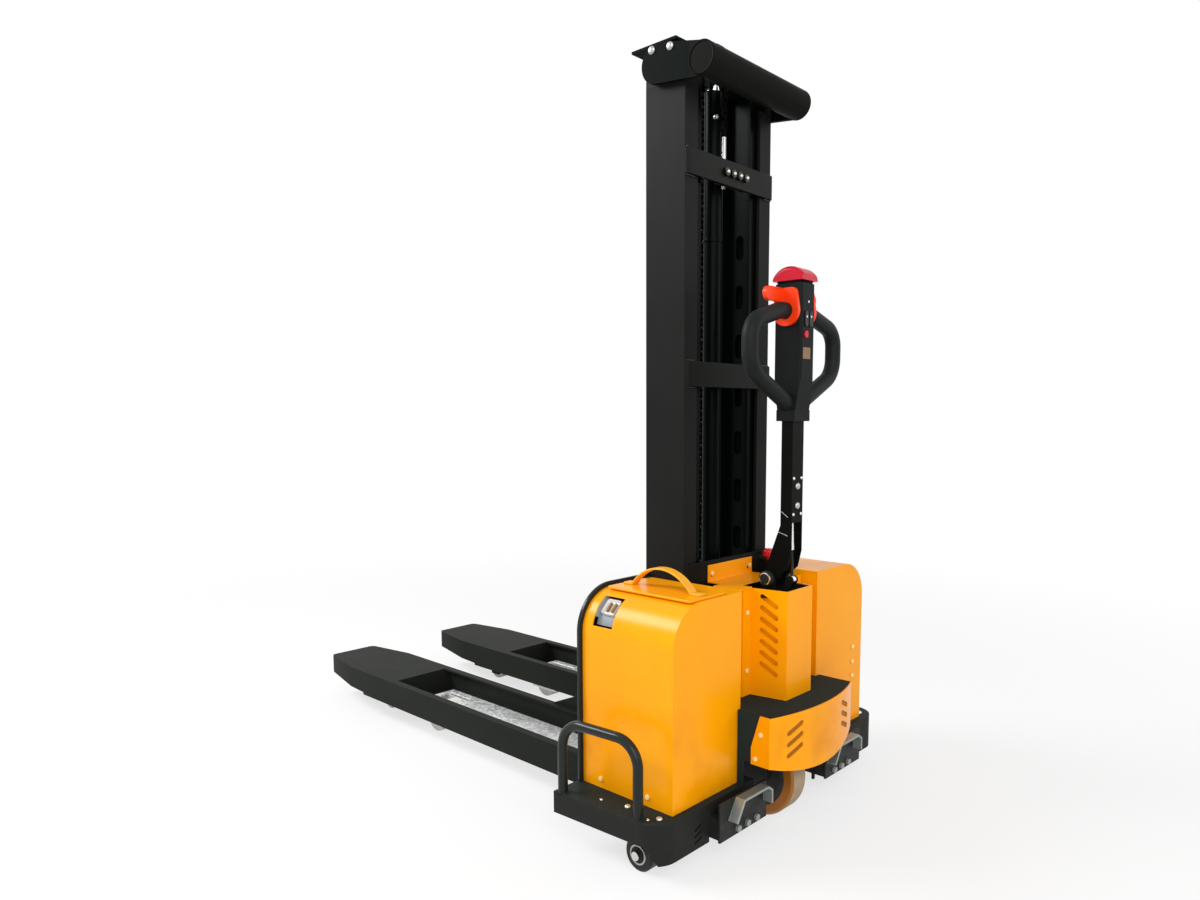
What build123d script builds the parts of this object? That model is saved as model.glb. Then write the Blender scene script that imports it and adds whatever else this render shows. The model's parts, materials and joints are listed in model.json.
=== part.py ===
from build123d import *
import os

os.makedirs("parts", exist_ok=True)

# Self-loading stacker. Millimetres, +X right, +Y towards the fork tips, +Z up, standing on Z = 0.
# Reaches along Y are measured from the rear face of the two covers and then placed from cover_rear_y.
fork_reach = 1392
guard_reach = 108
cover_rear_y = (guard_reach - fork_reach) / 2

# Fits
running_gap = 0.05
slide_gap = 0.3
swing_gap = 2
overcut = 1
cover_gap = 1

# Base tray
base_half_rear = 400
base_flare = 14
base_half_front = base_half_rear + base_flare
base_rear_reach = 15
base_front_reach = 238
base_top_z = 106
base_plate = 6
base_corner_r = 50
skirt_wall = 5
side_skirt_depth = 42
rear_skirt_depth = 76
skirt_step_reaches = (-3, 15)
wheel_well_half = 113
wheel_well_front = 134
rib_wall = 8
rib_inset = 100
rib_half_length = base_half_rear - rib_inset
rib_reaches = (30, 205)
tray_slot_gap = 32.7
tray_slot_zs = (70, 58, 46)
tray_slot_size = (24, 5)
tray_slot_slant = 20

# Covers and bulkheads
mast_half = 146
cover_lap = 6
cover_inner = mast_half - cover_lap
cover_inset = 56.5
cover_outer = base_half_rear - cover_inset
cover_length = 229
cover_top_z = 483
cover_corner_r = 80
sheet = 3
bulkhead_wall = 8
bulkhead_lip = 8.5

# Mast channels
mast_rear_reach = 140
mast_depth = 102
mast_flange = 40
mast_wall = 8
mast_top_z = 1465
bar_wall = 8
bar_height = 50
bar_chamfer = 5
bar_drop = 129
bar_low_top_z = 518
bar_high_top_z = mast_top_z - bar_drop
bar_top_zs = (bar_high_top_z, (bar_high_top_z + bar_low_top_z) / 2, bar_low_top_z)
pad_height = 60
pad_width = 18

# Inner mast, an I section nested in the outer channels
inner_web_face = 106
inner_web = 8
inner_flange_wall = 10
inner_flange_reach = 22
inner_foot_z = 128
inner_slot_pitch = 107
inner_slot_count = 9
inner_slot_size = (52, 20)
inner_slot_first_z = 330
foot_roller_width = 20
foot_stub_r = 12

# Mast head
head_plate = 8
head_plate_inner = 155
head_bar_rise = 39
head_bar_z = mast_top_z + head_bar_rise
head_bar_wall = 12
head_front_r = 38
head_front_reach = 200
head_front_drop = 4
head_front_z = head_bar_z - head_front_drop
head_tube_r = 31
head_tube_reach = 85
head_tube_proud = 4
head_tube_drop = 24
head_tube_z = head_bar_z - head_tube_drop
top_plate_rise = 29
top_plate_z = head_bar_z + top_plate_rise
top_plate_wall = 5
top_plate_rear_reach = 150
top_plate_front_reach = 265

# Lift cylinder and chain
cylinder_reach = 185
cylinder_r = 19
rod_show = 20
cylinder_top_z = head_bar_z - rod_show
rod_r = 13.5
rod_foot_z = 250
chain_pitch_r = 28
chain_height = 7
chain_width = 14
sheave_flange = 2.5
sheave_rim_drop = 1
sheave_rim_r = chain_pitch_r + chain_height / 2 - sheave_rim_drop
sheave_z = head_bar_z + head_bar_wall + sheave_rim_r + swing_gap
sheave_pin_r = 7
sheave_cheek = 8
carriage_lug_z = 350
anchor_rise = 54
anchor_top_z = bar_high_top_z + anchor_rise
anchor_stud_r = 4.5
anchor_half = 48
anchor_wall = 4
anchor_lug_half = 12
anchor_lug_wall = 12
anchor_nut_xs = (-26, -4, 18, 40)
nut_r = 9
nut_height = 6
sheave_side_gap = 1
sheave_cheek_half = 18

# Carriage
carriage_plate = 8
carriage_plate_inner = 72
carriage_low_z = 112
carriage_top_z = 420
carriage_bar_wall = 12
carriage_roller_zs = (150, 375)
carriage_roller_width = 18
carriage_stub_r = 10
carriage_bar_zs = ((86, 146), (340, 400))
carriage_front_gap = 4
carriage_rear_gap = 5
carriage_boss_ratio = 1.3
carriage_lug_height = 25
roller_edge = 2

# Forks
fork_inner = 94
fork_width = 187
fork_top_z = 118
fork_low_z = 53
fork_wall = 8
fork_top_wall = 6
fork_lip = 20
fork_taper_reach = 1238
fork_taper = 27
fork_plate_reach = 1026
fork_corner_r = 16
heel_wall = 12
heel_low_z = 86
heel_top_z = 400
gusset_reach = 590
gusset_top_z = 252
fork_roller_reach = 1149
fork_roller_r = 30
fork_roller_width = 50
fork_roller_z = 32
fork_pin_r = 7
hanger_wall = 8
hanger_half = 16
fork_nose_reach = 1172
fork_nose_step = 6
fork_nose_rise = 16
fork_floor_reaches = (985, 1100)
fork_floor_wall = 5

# Telescopic legs
leg_x = 187.5
leg_width = 125
leg_top_z = 74
leg_height = 30
leg_wall = 5
leg_tip_reach = 970
leg_roller_setback = 59
leg_roller_reach = leg_tip_reach - leg_roller_setback
leg_roller_r = 36
leg_roller_width = 70
leg_window_gap = 8
leg_pin_r = 9
leg_ear = 5
sleeve_wall = 5
sleeve_rear_reach = 40
sleeve_front_reach = 300
leg_end_wall = 5
leg_plate_half = 75
leg_handle_shift = 9.5
leg_handle_top_z = 113
leg_handle_low_z = 75
leg_handle_foot_xs = (-60, 58)
leg_handle_top_xs = (-36, 43)
leg_handle_corner = 11
leg_handle_strap = 5
leg_handle_width = 21
leg_nut_xs = (-30, 0, 30)
leg_nut_z = 50
leg_nut_r = 7

# Step hoops and guide wheels
hoop_inset = 9
hoop_r = 9.5
hoop_reaches = (40, 221)
hoop_top_z = 245
hoop_bend_r = 48
guide_inset = 33
guide_x = base_half_rear - guide_inset
guide_reach = 50
guide_r = 32
guide_width = 26
guide_pin_r = 6
guide_cheek = 6
guide_edge = 3
guide_bracket_half = 20
guide_washer_r = 13
guide_washer = 2

# Drive unit and guard
steer_reach = 24
drive_x = -28
drive_r = 92
drive_width = 50
drive_hub_r = 70
drive_axle_r = 15
drive_arm_wall = 24
drive_arm_gap = 5
drive_arm_half = 36
turntable_r = 58
turntable_low_z = 196
turntable_top_z = 236
neck_r = 38
neck_top_z = 258
hub_rim = 12
hub_boss_r = 30
hub_dish_depth = 10
tyre_edge = 5
bearing_outer_r = 62
bearing_height = 12
guard_half = 155
guard_fold_reach = 78
guard_top_z = 253
guard_plate = 5
guard_front_reach = 90
skirt_low_z = 131
skirt_end_z = 155
skirt_edge_top_reach = 56
skirt_edge_low_reach = 36
skirt_edge_z = 188
skirt_slot_x = 94
skirt_slot_z = 202
skirt_slot_pitch = 22
skirt_slot_count = 3
skirt_slot_length = 46
skirt_slot_slant = 25
skirt_bolt_spots = ((59, 218), (47, 168))
motor_r = 36
motor_top_z = 395

# Column cover, its bracket and the emergency switch
column_half_front = 60
column_half_rear = 46
column_front_reach = 34
column_rear_reach = 44
column_flange = 27
column_wing = 46
column_wing_lap = 8
column_top_z = 473
bracket_half = 78
bracket_low_z = 474
bracket_height = 36
bracket_rear_reach = 58
vent_count = 7
vent_pitch = 23
vent_length = 45
vent_width = 10
vent_slant = 31
vent_rise = 17
switch_half = 16
switch_x = 122
switch_low_z = 462
switch_top_z = 500
knob_r = 13
knob_height = 16
knob_gap = 8
knob_stem_r = 5
knob_stem = 30
knob_round = 8

# Tiller
pivot_reach = 18
pivot_z = 490
pivot_r = 8
pivot_boss_r = 16
tiller_half = 20
tiller_rear_reach = 33
tiller_depth = 26
tiller_wall = 3
tiller_top_z = 830
tiller_open_z = 606
tiller_flare_z = 600
clevis_wall = 6
clevis_gap = 1
clevis_low_z = 468
column_flange_wall = 10
column_post_r = 22
pivot_head_r = 11
tiller_heel_z = 514
tiller_heel_run = 8
tiller_heel_rise = 34
spring_ear_r = 8
spring_ear_wall = 4
spring_ear_run = 14
spring_low_reach = 24
spring_low_z = 489
spring_top_reach = 18
spring_top_z = 630
spring_tube_r = 5.5
spring_tube_start = 61
spring_rod_r = 3.5
spring_rod_length = 77
spring_eye_r = 7
spring_top_eye_r = 5.5
spring_eye_half = 5
spring_pin_r = 4
head_half = 25.5
head_rear_reach = 51
head_depth = 62
head_height = 244
head_top_z = tiller_top_z + head_height
head_shoulder_rise = 65
head_shoulder_z = tiller_top_z + head_shoulder_rise
head_round = 7
collar_wall = 8
collar_height = 22
loop_r = 16
loop_top_drop = 53
loop_top_z = head_top_z - loop_top_drop
loop_straight = 52
loop_half = 150
loop_side_drop = 29
loop_side_z = loop_top_z - loop_side_drop
loop_bend_rise = 75
loop_bend_z = tiller_top_z + loop_bend_rise
loop_foot_rise = 2
loop_foot_z = tiller_top_z + loop_foot_rise
loop_bend_radii = (40, 42, 52)
grip_reach = 20
throttle_wall = 8
throttle_r = 29
throttle_top_drop = 9
throttle_top_z = head_top_z - throttle_top_drop
throttle_top_half = 24
throttle_corner = 10
wing_reach = 90
wing_wall = 9
wing_height = 27
wing_low_z = throttle_top_z - wing_height
wing_y_reach = 6
cap_overhang = 3
cap_travel = 5
cap_height = 27
cap_rear_height = 11
cap_round = 8
cap_post_inset = 4
cap_post_height = 14
button_proud = 2.5
button_depth = 8
button_travel = 1.5
key_x = 8
key_drop = 68
red_drop = 98
head_buttons = (
    ("lift_button", -key_x, head_top_z - key_drop, 30, 11),
    ("lower_button", key_x, head_top_z - key_drop, 30, 11),
    ("red_button", -key_x, head_top_z - red_drop, 14, 13),
)

# Battery and power pack inside the covers
pack_gap = 15
battery_inner = cover_inner + pack_gap
battery_edge = 8.5
battery_outer = cover_outer - battery_edge
battery_reaches = (10, 130)
battery_top_z = 430
terminal_reaches = (35, 105)
terminal_r = 9
terminal_height = 12
tank_inner = cover_inner + pack_gap
tank_edge = 13.5
tank_outer = cover_outer - tank_edge
tank_reaches = (10, 125)
tank_top_z = 300
pump_x = (tank_inner + tank_outer) / 2
pump_reach = 65
pump_r = 50
pump_top_z = 450
controller_reaches = (150, 215)
controller_top_z = 300

# Battery lid and strap
lid_inner_edge = 43
lid_inner = cover_inner + lid_inner_edge
lid_outer_edge = 53.5
lid_outer = cover_outer - lid_outer_edge
lid_reaches = (6, 214)
lid_wall = 5
lid_hole_edge = 10
strap_shift = 6.5
strap_x = (lid_inner + lid_outer) / 2 + strap_shift
strap_width = 20
strap_wall = 4
strap_reaches = (33, 187)
strap_rise = 42
strap_pad = 26

# Charge socket in the battery cover's rounded corner
socket_reaches = (152, 204)
socket_zs = (420, 472)
socket_back_x = lid_outer
socket_sink = 12
socket_arm = 12
socket_hole_r = 12
socket_hole_depth = 8

# Screw heads
screw_r = 5.5
screw_height = 3.5
cover_screw_spots = ((60, 124), (180, 124))
column_screw_zs = (305, 425)
pump_screw_edge = 43.5
pump_screw_x = cover_outer - pump_screw_edge
pump_screw_zs = (285, 250, 217)

# Stations worked out from the values above
base_rear_y = cover_rear_y - base_rear_reach
base_front_y = cover_rear_y + base_front_reach
cover_front_y = cover_rear_y + cover_length
mast_rear_y = cover_rear_y + mast_rear_reach
mast_front_y = mast_rear_y + mast_depth
mast_mid_y = (mast_rear_y + mast_front_y) / 2
bar_rear_y = mast_rear_y - bar_wall
steer_y = cover_rear_y + steer_reach
cylinder_y = cover_rear_y + cylinder_reach
fork_tip_y = cover_rear_y + fork_reach
carriage_front_y = mast_front_y + carriage_front_gap
heel_y = carriage_front_y + carriage_bar_wall
sleeve_half = leg_width / 2 + slide_gap + sleeve_wall
sleeve_top_z = leg_top_z + slide_gap + sleeve_wall
sleeve_low_z = leg_top_z - leg_height - slide_gap - sleeve_wall
sides = (("left", -1), ("right", 1))


def block(x_ends, y_ends, z_ends, mode=Mode.ADD):
    spans = [(min(ends), max(ends)) for ends in (x_ends, y_ends, z_ends)]
    middle = [(low + high) / 2 for low, high in spans]
    with Locations(tuple(middle)):
        Box(*[high - low for low, high in spans], mode=mode)


def disc(center, axis, radius, length, mode=Mode.ADD):
    with Locations(Plane(origin=center, z_dir=axis)):
        Cylinder(radius, length, mode=mode)


def hex_head(center, axis, radius, height):
    with BuildSketch(Plane(origin=center, z_dir=axis)) as head:
        RegularPolygon(radius, 6)
    extrude(head.sketch, amount=height)


# Base tray: top plate, slotted skirts, two ribs on the leg sleeves, well for the drive wheel
with BuildPart() as base_tray:
    with BuildSketch(Plane.XY.offset(base_top_z)) as base_plan:
        with BuildLine():
            Polyline(
                (-base_half_front, base_front_y),
                (base_half_front, base_front_y),
                (base_half_rear, base_rear_y),
                (-base_half_rear, base_rear_y),
                close=True,
            )
        make_face()
        fillet(base_plan.vertices().group_by(Axis.Y)[0], base_corner_r)
    extrude(amount=-rear_skirt_depth)
    with BuildSketch(Plane.XY.offset(base_top_z - base_plate)):
        add(base_plan.sketch.moved(Location((0, 0, -base_plate))))
        offset(amount=-skirt_wall, mode=Mode.REPLACE)
    extrude(amount=-rear_skirt_depth, mode=Mode.SUBTRACT)
    skirt_low = base_top_z - rear_skirt_depth
    with BuildSketch(Plane.YZ.offset(-base_half_front - overcut)) as side_rise:
        with BuildLine():
            Polyline(
                (cover_rear_y + skirt_step_reaches[0], skirt_low - overcut),
                (cover_rear_y + skirt_step_reaches[1], base_top_z - side_skirt_depth),
                (base_front_y + overcut, base_top_z - side_skirt_depth),
                (base_front_y + overcut, skirt_low - overcut),
                close=True,
            )
        make_face()
    extrude(side_rise.sketch, amount=2 * (base_half_front + overcut), mode=Mode.SUBTRACT)
    block(
        (-base_half_front + 2 * skirt_wall, base_half_front - 2 * skirt_wall),
        (base_front_y - 2 * skirt_wall, base_front_y + overcut),
        (skirt_low - overcut, base_top_z - base_plate),
        mode=Mode.SUBTRACT,
    )
    for reach in rib_reaches:
        rib_y = cover_rear_y + reach
        block(
            (-rib_half_length, rib_half_length),
            (rib_y - rib_wall / 2, rib_y + rib_wall / 2),
            (sleeve_top_z, base_top_z - base_plate),
        )
    block(
        (-wheel_well_half, wheel_well_half),
        (base_rear_y - overcut, cover_rear_y + wheel_well_front),
        (skirt_low - overcut, base_top_z + overcut),
        mode=Mode.SUBTRACT,
    )
    for side, sx in sides:
        block(
            (sx * leg_x - sleeve_half, sx * leg_x + sleeve_half),
            (base_rear_y - overcut, base_rear_y + 2 * skirt_wall),
            (skirt_low - overcut, sleeve_top_z),
            mode=Mode.SUBTRACT,
        )
        tray_slot_x = sx * (leg_x + sleeve_half + tray_slot_gap)
        with BuildSketch(Plane(origin=(0, base_rear_y, 0), x_dir=(1, 0, 0), z_dir=(0, -1, 0))) as tray_slots:
            for slot_z in tray_slot_zs:
                with Locations((tray_slot_x, slot_z)):
                    SlotOverall(*tray_slot_size, rotation=-sx * tray_slot_slant)
        extrude(tray_slots.sketch, amount=2 * skirt_wall, both=True, mode=Mode.SUBTRACT)
base_tray.part.label = "base_tray"
export_step(base_tray.part, "parts/base_tray.step")

# Leg sleeves: rectangular tubes under the tray that the legs slide through
sleeve_rear_y = cover_rear_y - sleeve_rear_reach
sleeve_front_y = cover_rear_y + sleeve_front_reach
with BuildPart() as leg_sleeves:
    for side, sx in sides:
        block(
            (sx * leg_x - sleeve_half, sx * leg_x + sleeve_half),
            (sleeve_rear_y, sleeve_front_y),
            (sleeve_low_z, sleeve_top_z),
        )
        block(
            (sx * leg_x - sleeve_half + sleeve_wall, sx * leg_x + sleeve_half - sleeve_wall),
            (sleeve_rear_y - overcut, sleeve_front_y + overcut),
            (sleeve_low_z + sleeve_wall, sleeve_top_z - sleeve_wall),
            mode=Mode.SUBTRACT,
        )
leg_sleeves.part.label = "leg_sleeves"
export_step(leg_sleeves.part, "parts/leg_sleeves.step")

# Step hoops: bent tubes that stand along the tray's flared sides
with BuildPart() as step_hoops:
    for side, sx in sides:
        hoop_rear = Vector(sx * (base_half_rear - hoop_inset), cover_rear_y + hoop_reaches[0])
        hoop_front = Vector(sx * (base_half_front - hoop_inset), cover_rear_y + hoop_reaches[1])
        hoop_way = hoop_front - hoop_rear
        hoop_span = hoop_way.length
        hoop_plane = Plane(origin=hoop_rear, x_dir=hoop_way, z_dir=hoop_way.cross(Vector(0, 0, 1)))
        with BuildLine(hoop_plane) as hoop_run:
            FilletPolyline(
                (0, base_top_z),
                (0, hoop_top_z),
                (hoop_span, hoop_top_z),
                (hoop_span, base_top_z),
                radius=hoop_bend_r,
            )
        with BuildSketch(Plane(origin=hoop_run.line @ 0, z_dir=hoop_run.line % 0)) as hoop_section:
            Circle(hoop_r)
        sweep(hoop_section.sketch, path=hoop_run.line)
step_hoops.part.label = "step_hoops"
export_step(step_hoops.part, "parts/step_hoops.step")


def cover_profile(sx, y, inner, outer, bottom, top, corner):
    with BuildSketch(Plane.XZ.offset(-y)) as profile:
        with Locations((sx * (inner + outer) / 2, (bottom + top) / 2)):
            Rectangle(outer - inner, top - bottom)
        top_corners = profile.vertices().group_by(Axis.Y)[-1].sort_by(Axis.X)
        fillet(top_corners[0 if sx < 0 else -1], corner)
    return profile.sketch


# Bulkheads: plates that close the front of the covers and stand a little proud of them
with BuildPart() as bulkheads:
    for side, sx in sides:
        lip = bulkhead_lip
        plate = cover_profile(
            sx, cover_front_y, mast_half + slide_gap, cover_outer + lip, base_top_z,
            cover_top_z + lip, cover_corner_r + lip,
        )
        extrude(plate, amount=-bulkhead_wall)
bulkheads.part.label = "bulkheads"
export_step(bulkheads.part, "parts/bulkheads.step")

# Covers: bent sheet with a rear wall and a rounded shoulder, open below and at the bulkhead
mast_notch = mast_half + cover_gap
for side, sx in sides:
    with BuildPart() as cover:
        shell = cover_profile(
            sx, cover_rear_y, cover_inner, cover_outer, base_top_z, cover_top_z, cover_corner_r
        )
        extrude(shell, amount=-cover_length)
        block(
            (sx * (cover_inner - overcut), sx * mast_notch),
            (mast_rear_y - cover_gap, cover_front_y + overcut),
            (base_top_z - overcut, cover_top_z + overcut),
            mode=Mode.SUBTRACT,
        )
        hollow_top = cover_top_z - sheet
        hollow_corner = cover_corner_r - sheet
        for inner, start, end in (
            (cover_inner + sheet, cover_rear_y + sheet, mast_rear_y - cover_gap - sheet),
            (mast_notch + sheet, mast_rear_y - cover_gap - sheet - overcut, cover_front_y + overcut),
        ):
            hollow = cover_profile(
                sx, start, inner, cover_outer - sheet, base_top_z - overcut, hollow_top, hollow_corner
            )
            extrude(hollow, amount=-(end - start), mode=Mode.SUBTRACT)
        if side == "left":
            block(
                (-lid_outer + lid_hole_edge, -lid_inner - lid_hole_edge),
                (
                    cover_rear_y + lid_reaches[0] + lid_hole_edge,
                    cover_rear_y + lid_reaches[1] - lid_hole_edge,
                ),
                (hollow_top - overcut, cover_top_z + overcut),
                mode=Mode.SUBTRACT,
            )
            block(
                (-cover_outer - overcut, -socket_back_x),
                (cover_rear_y + socket_reaches[0], cover_rear_y + socket_reaches[1]),
                socket_zs,
                mode=Mode.SUBTRACT,
            )
    name = "battery_cover" if side == "left" else "pump_cover"
    cover.part.label = name
    export_step(cover.part, f"parts/{name}.step")

# Charge socket: a block with a rounded face on an arm from the bulkhead, sunk in the battery cover
with BuildPart() as charge_socket:
    socket_rear_y = cover_rear_y + socket_reaches[0] + slide_gap
    socket_front_y = cover_rear_y + socket_reaches[1] - slide_gap
    socket_mid_z = (socket_zs[0] + socket_zs[1]) / 2
    with BuildSketch(Plane.XZ.offset(-socket_rear_y)):
        add(
            cover_profile(
                -1, socket_rear_y, cover_inner, cover_outer - socket_sink, base_top_z,
                cover_top_z - socket_sink, cover_corner_r - socket_sink,
            )
        )
        with Locations((-(cover_outer + socket_back_x) / 2, socket_mid_z)):
            Rectangle(
                cover_outer - socket_back_x, socket_zs[1] - socket_zs[0] - 2 * slide_gap,
                mode=Mode.INTERSECT,
            )
    extrude(amount=-(socket_front_y - socket_rear_y))
    block(
        (-socket_back_x - socket_arm, -socket_back_x),
        (socket_front_y, cover_front_y),
        (socket_zs[0] + slide_gap, socket_zs[0] + socket_arm),
    )
    port_way = Vector(-1, 0, 1).normalized()
    corner_x = cover_outer - cover_corner_r
    corner_z = cover_top_z - cover_corner_r
    port_mid = Vector(-corner_x, (socket_rear_y + socket_front_y) / 2, corner_z)
    port_mid += port_way * (cover_corner_r - socket_sink)
    disc(tuple(port_mid), tuple(port_way), socket_hole_r, 2 * socket_hole_depth, mode=Mode.SUBTRACT)
charge_socket.part.label = "charge_socket"
export_step(charge_socket.part, "parts/charge_socket.step")

# Battery lid: a plate on the battery cover, and the moulded strap handle that lifts it
with BuildPart() as battery_lid:
    block(
        (-lid_outer, -lid_inner),
        (cover_rear_y + lid_reaches[0], cover_rear_y + lid_reaches[1]),
        (cover_top_z, cover_top_z + lid_wall),
    )
    fillet(battery_lid.edges().filter_by(Axis.Z), lid_wall)
battery_lid.part.label = "battery_lid"
export_step(battery_lid.part, "parts/battery_lid.step")

lid_top_z = cover_top_z + lid_wall
strap_rear_y = cover_rear_y + strap_reaches[0]
strap_front_y = cover_rear_y + strap_reaches[1]
strap_mid_y = (strap_rear_y + strap_front_y) / 2
with BuildPart() as lid_strap:
    with BuildSketch(Plane.YZ.offset(-strap_x - strap_width / 2)):
        with BuildLine():
            ThreePointArc(
                (strap_rear_y, lid_top_z),
                (strap_mid_y, lid_top_z + strap_rise),
                (strap_front_y, lid_top_z),
            )
            Line((strap_front_y, lid_top_z), (strap_front_y - strap_wall, lid_top_z))
            ThreePointArc(
                (strap_front_y - strap_wall, lid_top_z),
                (strap_mid_y, lid_top_z + strap_rise - strap_wall),
                (strap_rear_y + strap_wall, lid_top_z),
            )
            Line((strap_rear_y + strap_wall, lid_top_z), (strap_rear_y, lid_top_z))
        make_face()
    extrude(amount=strap_width)
    for pad_y, away in ((strap_rear_y, -1), (strap_front_y, 1)):
        block(
            (-strap_x - strap_width / 2, -strap_x + strap_width / 2),
            (pad_y - away * strap_wall, pad_y + away * (strap_pad - 2 * strap_wall)),
            (lid_top_z, lid_top_z + strap_wall),
        )
lid_strap.part.label = "lid_strap"
export_step(lid_strap.part, "parts/lid_strap.step")

# Battery and hydraulic power pack, standing on the tray inside the covers
with BuildPart() as battery:
    block(
        (-battery_outer, -battery_inner),
        (cover_rear_y + battery_reaches[0], cover_rear_y + battery_reaches[1]),
        (base_top_z, battery_top_z),
    )
    for reach in terminal_reaches:
        disc(
            (-strap_x, cover_rear_y + reach, battery_top_z + terminal_height / 2),
            (0, 0, 1), terminal_r, terminal_height,
        )
battery.part.label = "battery"
export_step(battery.part, "parts/battery.step")

with BuildPart() as power_pack:
    block(
        (tank_inner, tank_outer),
        (cover_rear_y + tank_reaches[0], cover_rear_y + tank_reaches[1]),
        (base_top_z, tank_top_z),
    )
    disc(
        (pump_x, cover_rear_y + pump_reach, (tank_top_z + pump_top_z) / 2),
        (0, 0, 1), pump_r, pump_top_z - tank_top_z,
    )
    block(
        (tank_inner, tank_outer),
        (cover_rear_y + controller_reaches[0], cover_rear_y + controller_reaches[1]),
        (base_top_z, controller_top_z),
    )
power_pack.part.label = "power_pack"
export_step(power_pack.part, "parts/power_pack.step")

# Outer mast: two channels that open inwards, with slide pads near the top
for side, sx in sides:
    with BuildPart() as outer_mast:
        block(
            (sx * (mast_half - mast_flange), sx * mast_half),
            (mast_rear_y, mast_front_y),
            (base_top_z, mast_top_z),
        )
        block(
            (sx * (mast_half - mast_flange - overcut), sx * (mast_half - mast_wall)),
            (mast_rear_y + mast_wall, mast_front_y - mast_wall),
            (base_top_z - overcut, mast_top_z + overcut),
            mode=Mode.SUBTRACT,
        )
        pad_outer = mast_half - mast_wall
        pad_rise = swing_gap - slide_gap
        for pad_y, away in ((mast_rear_y + mast_wall, 1), (mast_front_y - mast_wall, -1)):
            block(
                (sx * (pad_outer - pad_width), sx * pad_outer),
                (pad_y, pad_y + away * pad_rise),
                (mast_top_z - 2 * pad_height, mast_top_z - pad_height),
            )
    outer_mast.part.label = f"outer_mast_{side}"
    export_step(outer_mast.part, f"parts/outer_mast_{side}.step")

# Crossbars behind the mast, and the switch box on the end of the lowest one
with BuildPart() as mast_crossbars:
    for top_z in bar_top_zs:
        block((-mast_half, mast_half), (bar_rear_y, mast_rear_y), (top_z - bar_height, top_z))
    bar_ends = mast_crossbars.edges().filter_by(Axis.Z).group_by(Axis.Y)[0]
    chamfer(bar_ends, bar_chamfer)
    for side, sx in sides:
        block(
            (sx * (cover_inner - slide_gap), sx * (mast_half + overcut)),
            (bar_rear_y - overcut, mast_rear_y + overcut),
            (base_top_z, cover_top_z + slide_gap),
            mode=Mode.SUBTRACT,
        )
    block(
        (switch_x - switch_half, switch_x + switch_half),
        (bar_rear_y - 2 * switch_half, bar_rear_y),
        (switch_low_z, switch_top_z),
    )
    disc(
        (switch_x, bar_rear_y - switch_half, switch_top_z),
        (0, 0, 1), knob_stem_r + running_gap, 2 * knob_stem, mode=Mode.SUBTRACT,
    )
mast_crossbars.part.label = "mast_crossbars"
export_step(mast_crossbars.part, "parts/mast_crossbars.step")

with BuildPart() as estop_knob:
    knob_y = bar_rear_y - switch_half
    knob_low = switch_top_z + knob_gap
    disc((switch_x, knob_y, knob_low - knob_stem / 2), (0, 0, 1), knob_stem_r, knob_stem)
    disc((switch_x, knob_y, knob_low + knob_height / 2), (0, 0, 1), knob_r, knob_height)
    fillet(estop_knob.edges().filter_by(GeomType.CIRCLE).sort_by(Axis.Z)[-1], knob_round)
estop_knob.part.label = "estop_knob"
export_step(estop_knob.part, "parts/estop_knob.step")

# Lift cylinder, standing on the tray, and the rod that pushes the mast head
with BuildPart() as lift_cylinder:
    disc(
        (0, cylinder_y, (base_top_z + cylinder_top_z) / 2),
        (0, 0, 1), cylinder_r, cylinder_top_z - base_top_z,
    )
    block(
        (-2 * cylinder_r, 2 * cylinder_r),
        (cylinder_y - cylinder_r, cylinder_y + cylinder_r),
        (base_top_z, base_top_z + base_plate),
    )
    rod_room = cylinder_top_z - rod_foot_z + base_plate
    disc(
        (0, cylinder_y, cylinder_top_z - rod_room / 2),
        (0, 0, 1), rod_r + running_gap, rod_room, mode=Mode.SUBTRACT,
    )
lift_cylinder.part.label = "lift_cylinder"
export_step(lift_cylinder.part, "parts/lift_cylinder.step")

with BuildPart() as lift_rod:
    disc((0, cylinder_y, (rod_foot_z + head_bar_z) / 2), (0, 0, 1), rod_r, head_bar_z - rod_foot_z)
lift_rod.part.label = "lift_rod"
export_step(lift_rod.part, "parts/lift_rod.step")

# Chain anchor: an angle bolted to the upper crossbar, with the stud that holds the chain's fixed end
anchor_y = cylinder_y - chain_pitch_r
anchor_bar_top = bar_high_top_z
with BuildPart() as chain_anchor:
    block(
        (-anchor_half, anchor_half),
        (mast_rear_y, mast_rear_y + anchor_wall),
        (anchor_bar_top - bar_height, anchor_bar_top),
    )
    block(
        (-anchor_lug_half, anchor_lug_half),
        (mast_rear_y, anchor_y + chain_height / 2),
        (anchor_bar_top - anchor_lug_wall, anchor_bar_top),
    )
    stud_low_z = anchor_bar_top - bar_height
    disc(
        (0, anchor_y, (stud_low_z + anchor_top_z) / 2),
        (0, 0, 1), anchor_stud_r, anchor_top_z - stud_low_z,
    )
    for nut_x in anchor_nut_xs:
        hex_head((nut_x, bar_rear_y, anchor_bar_top - bar_height / 2), (0, -1, 0), nut_r, nut_height)
chain_anchor.part.label = "chain_anchor"
export_step(chain_anchor.part, "parts/chain_anchor.step")

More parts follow.
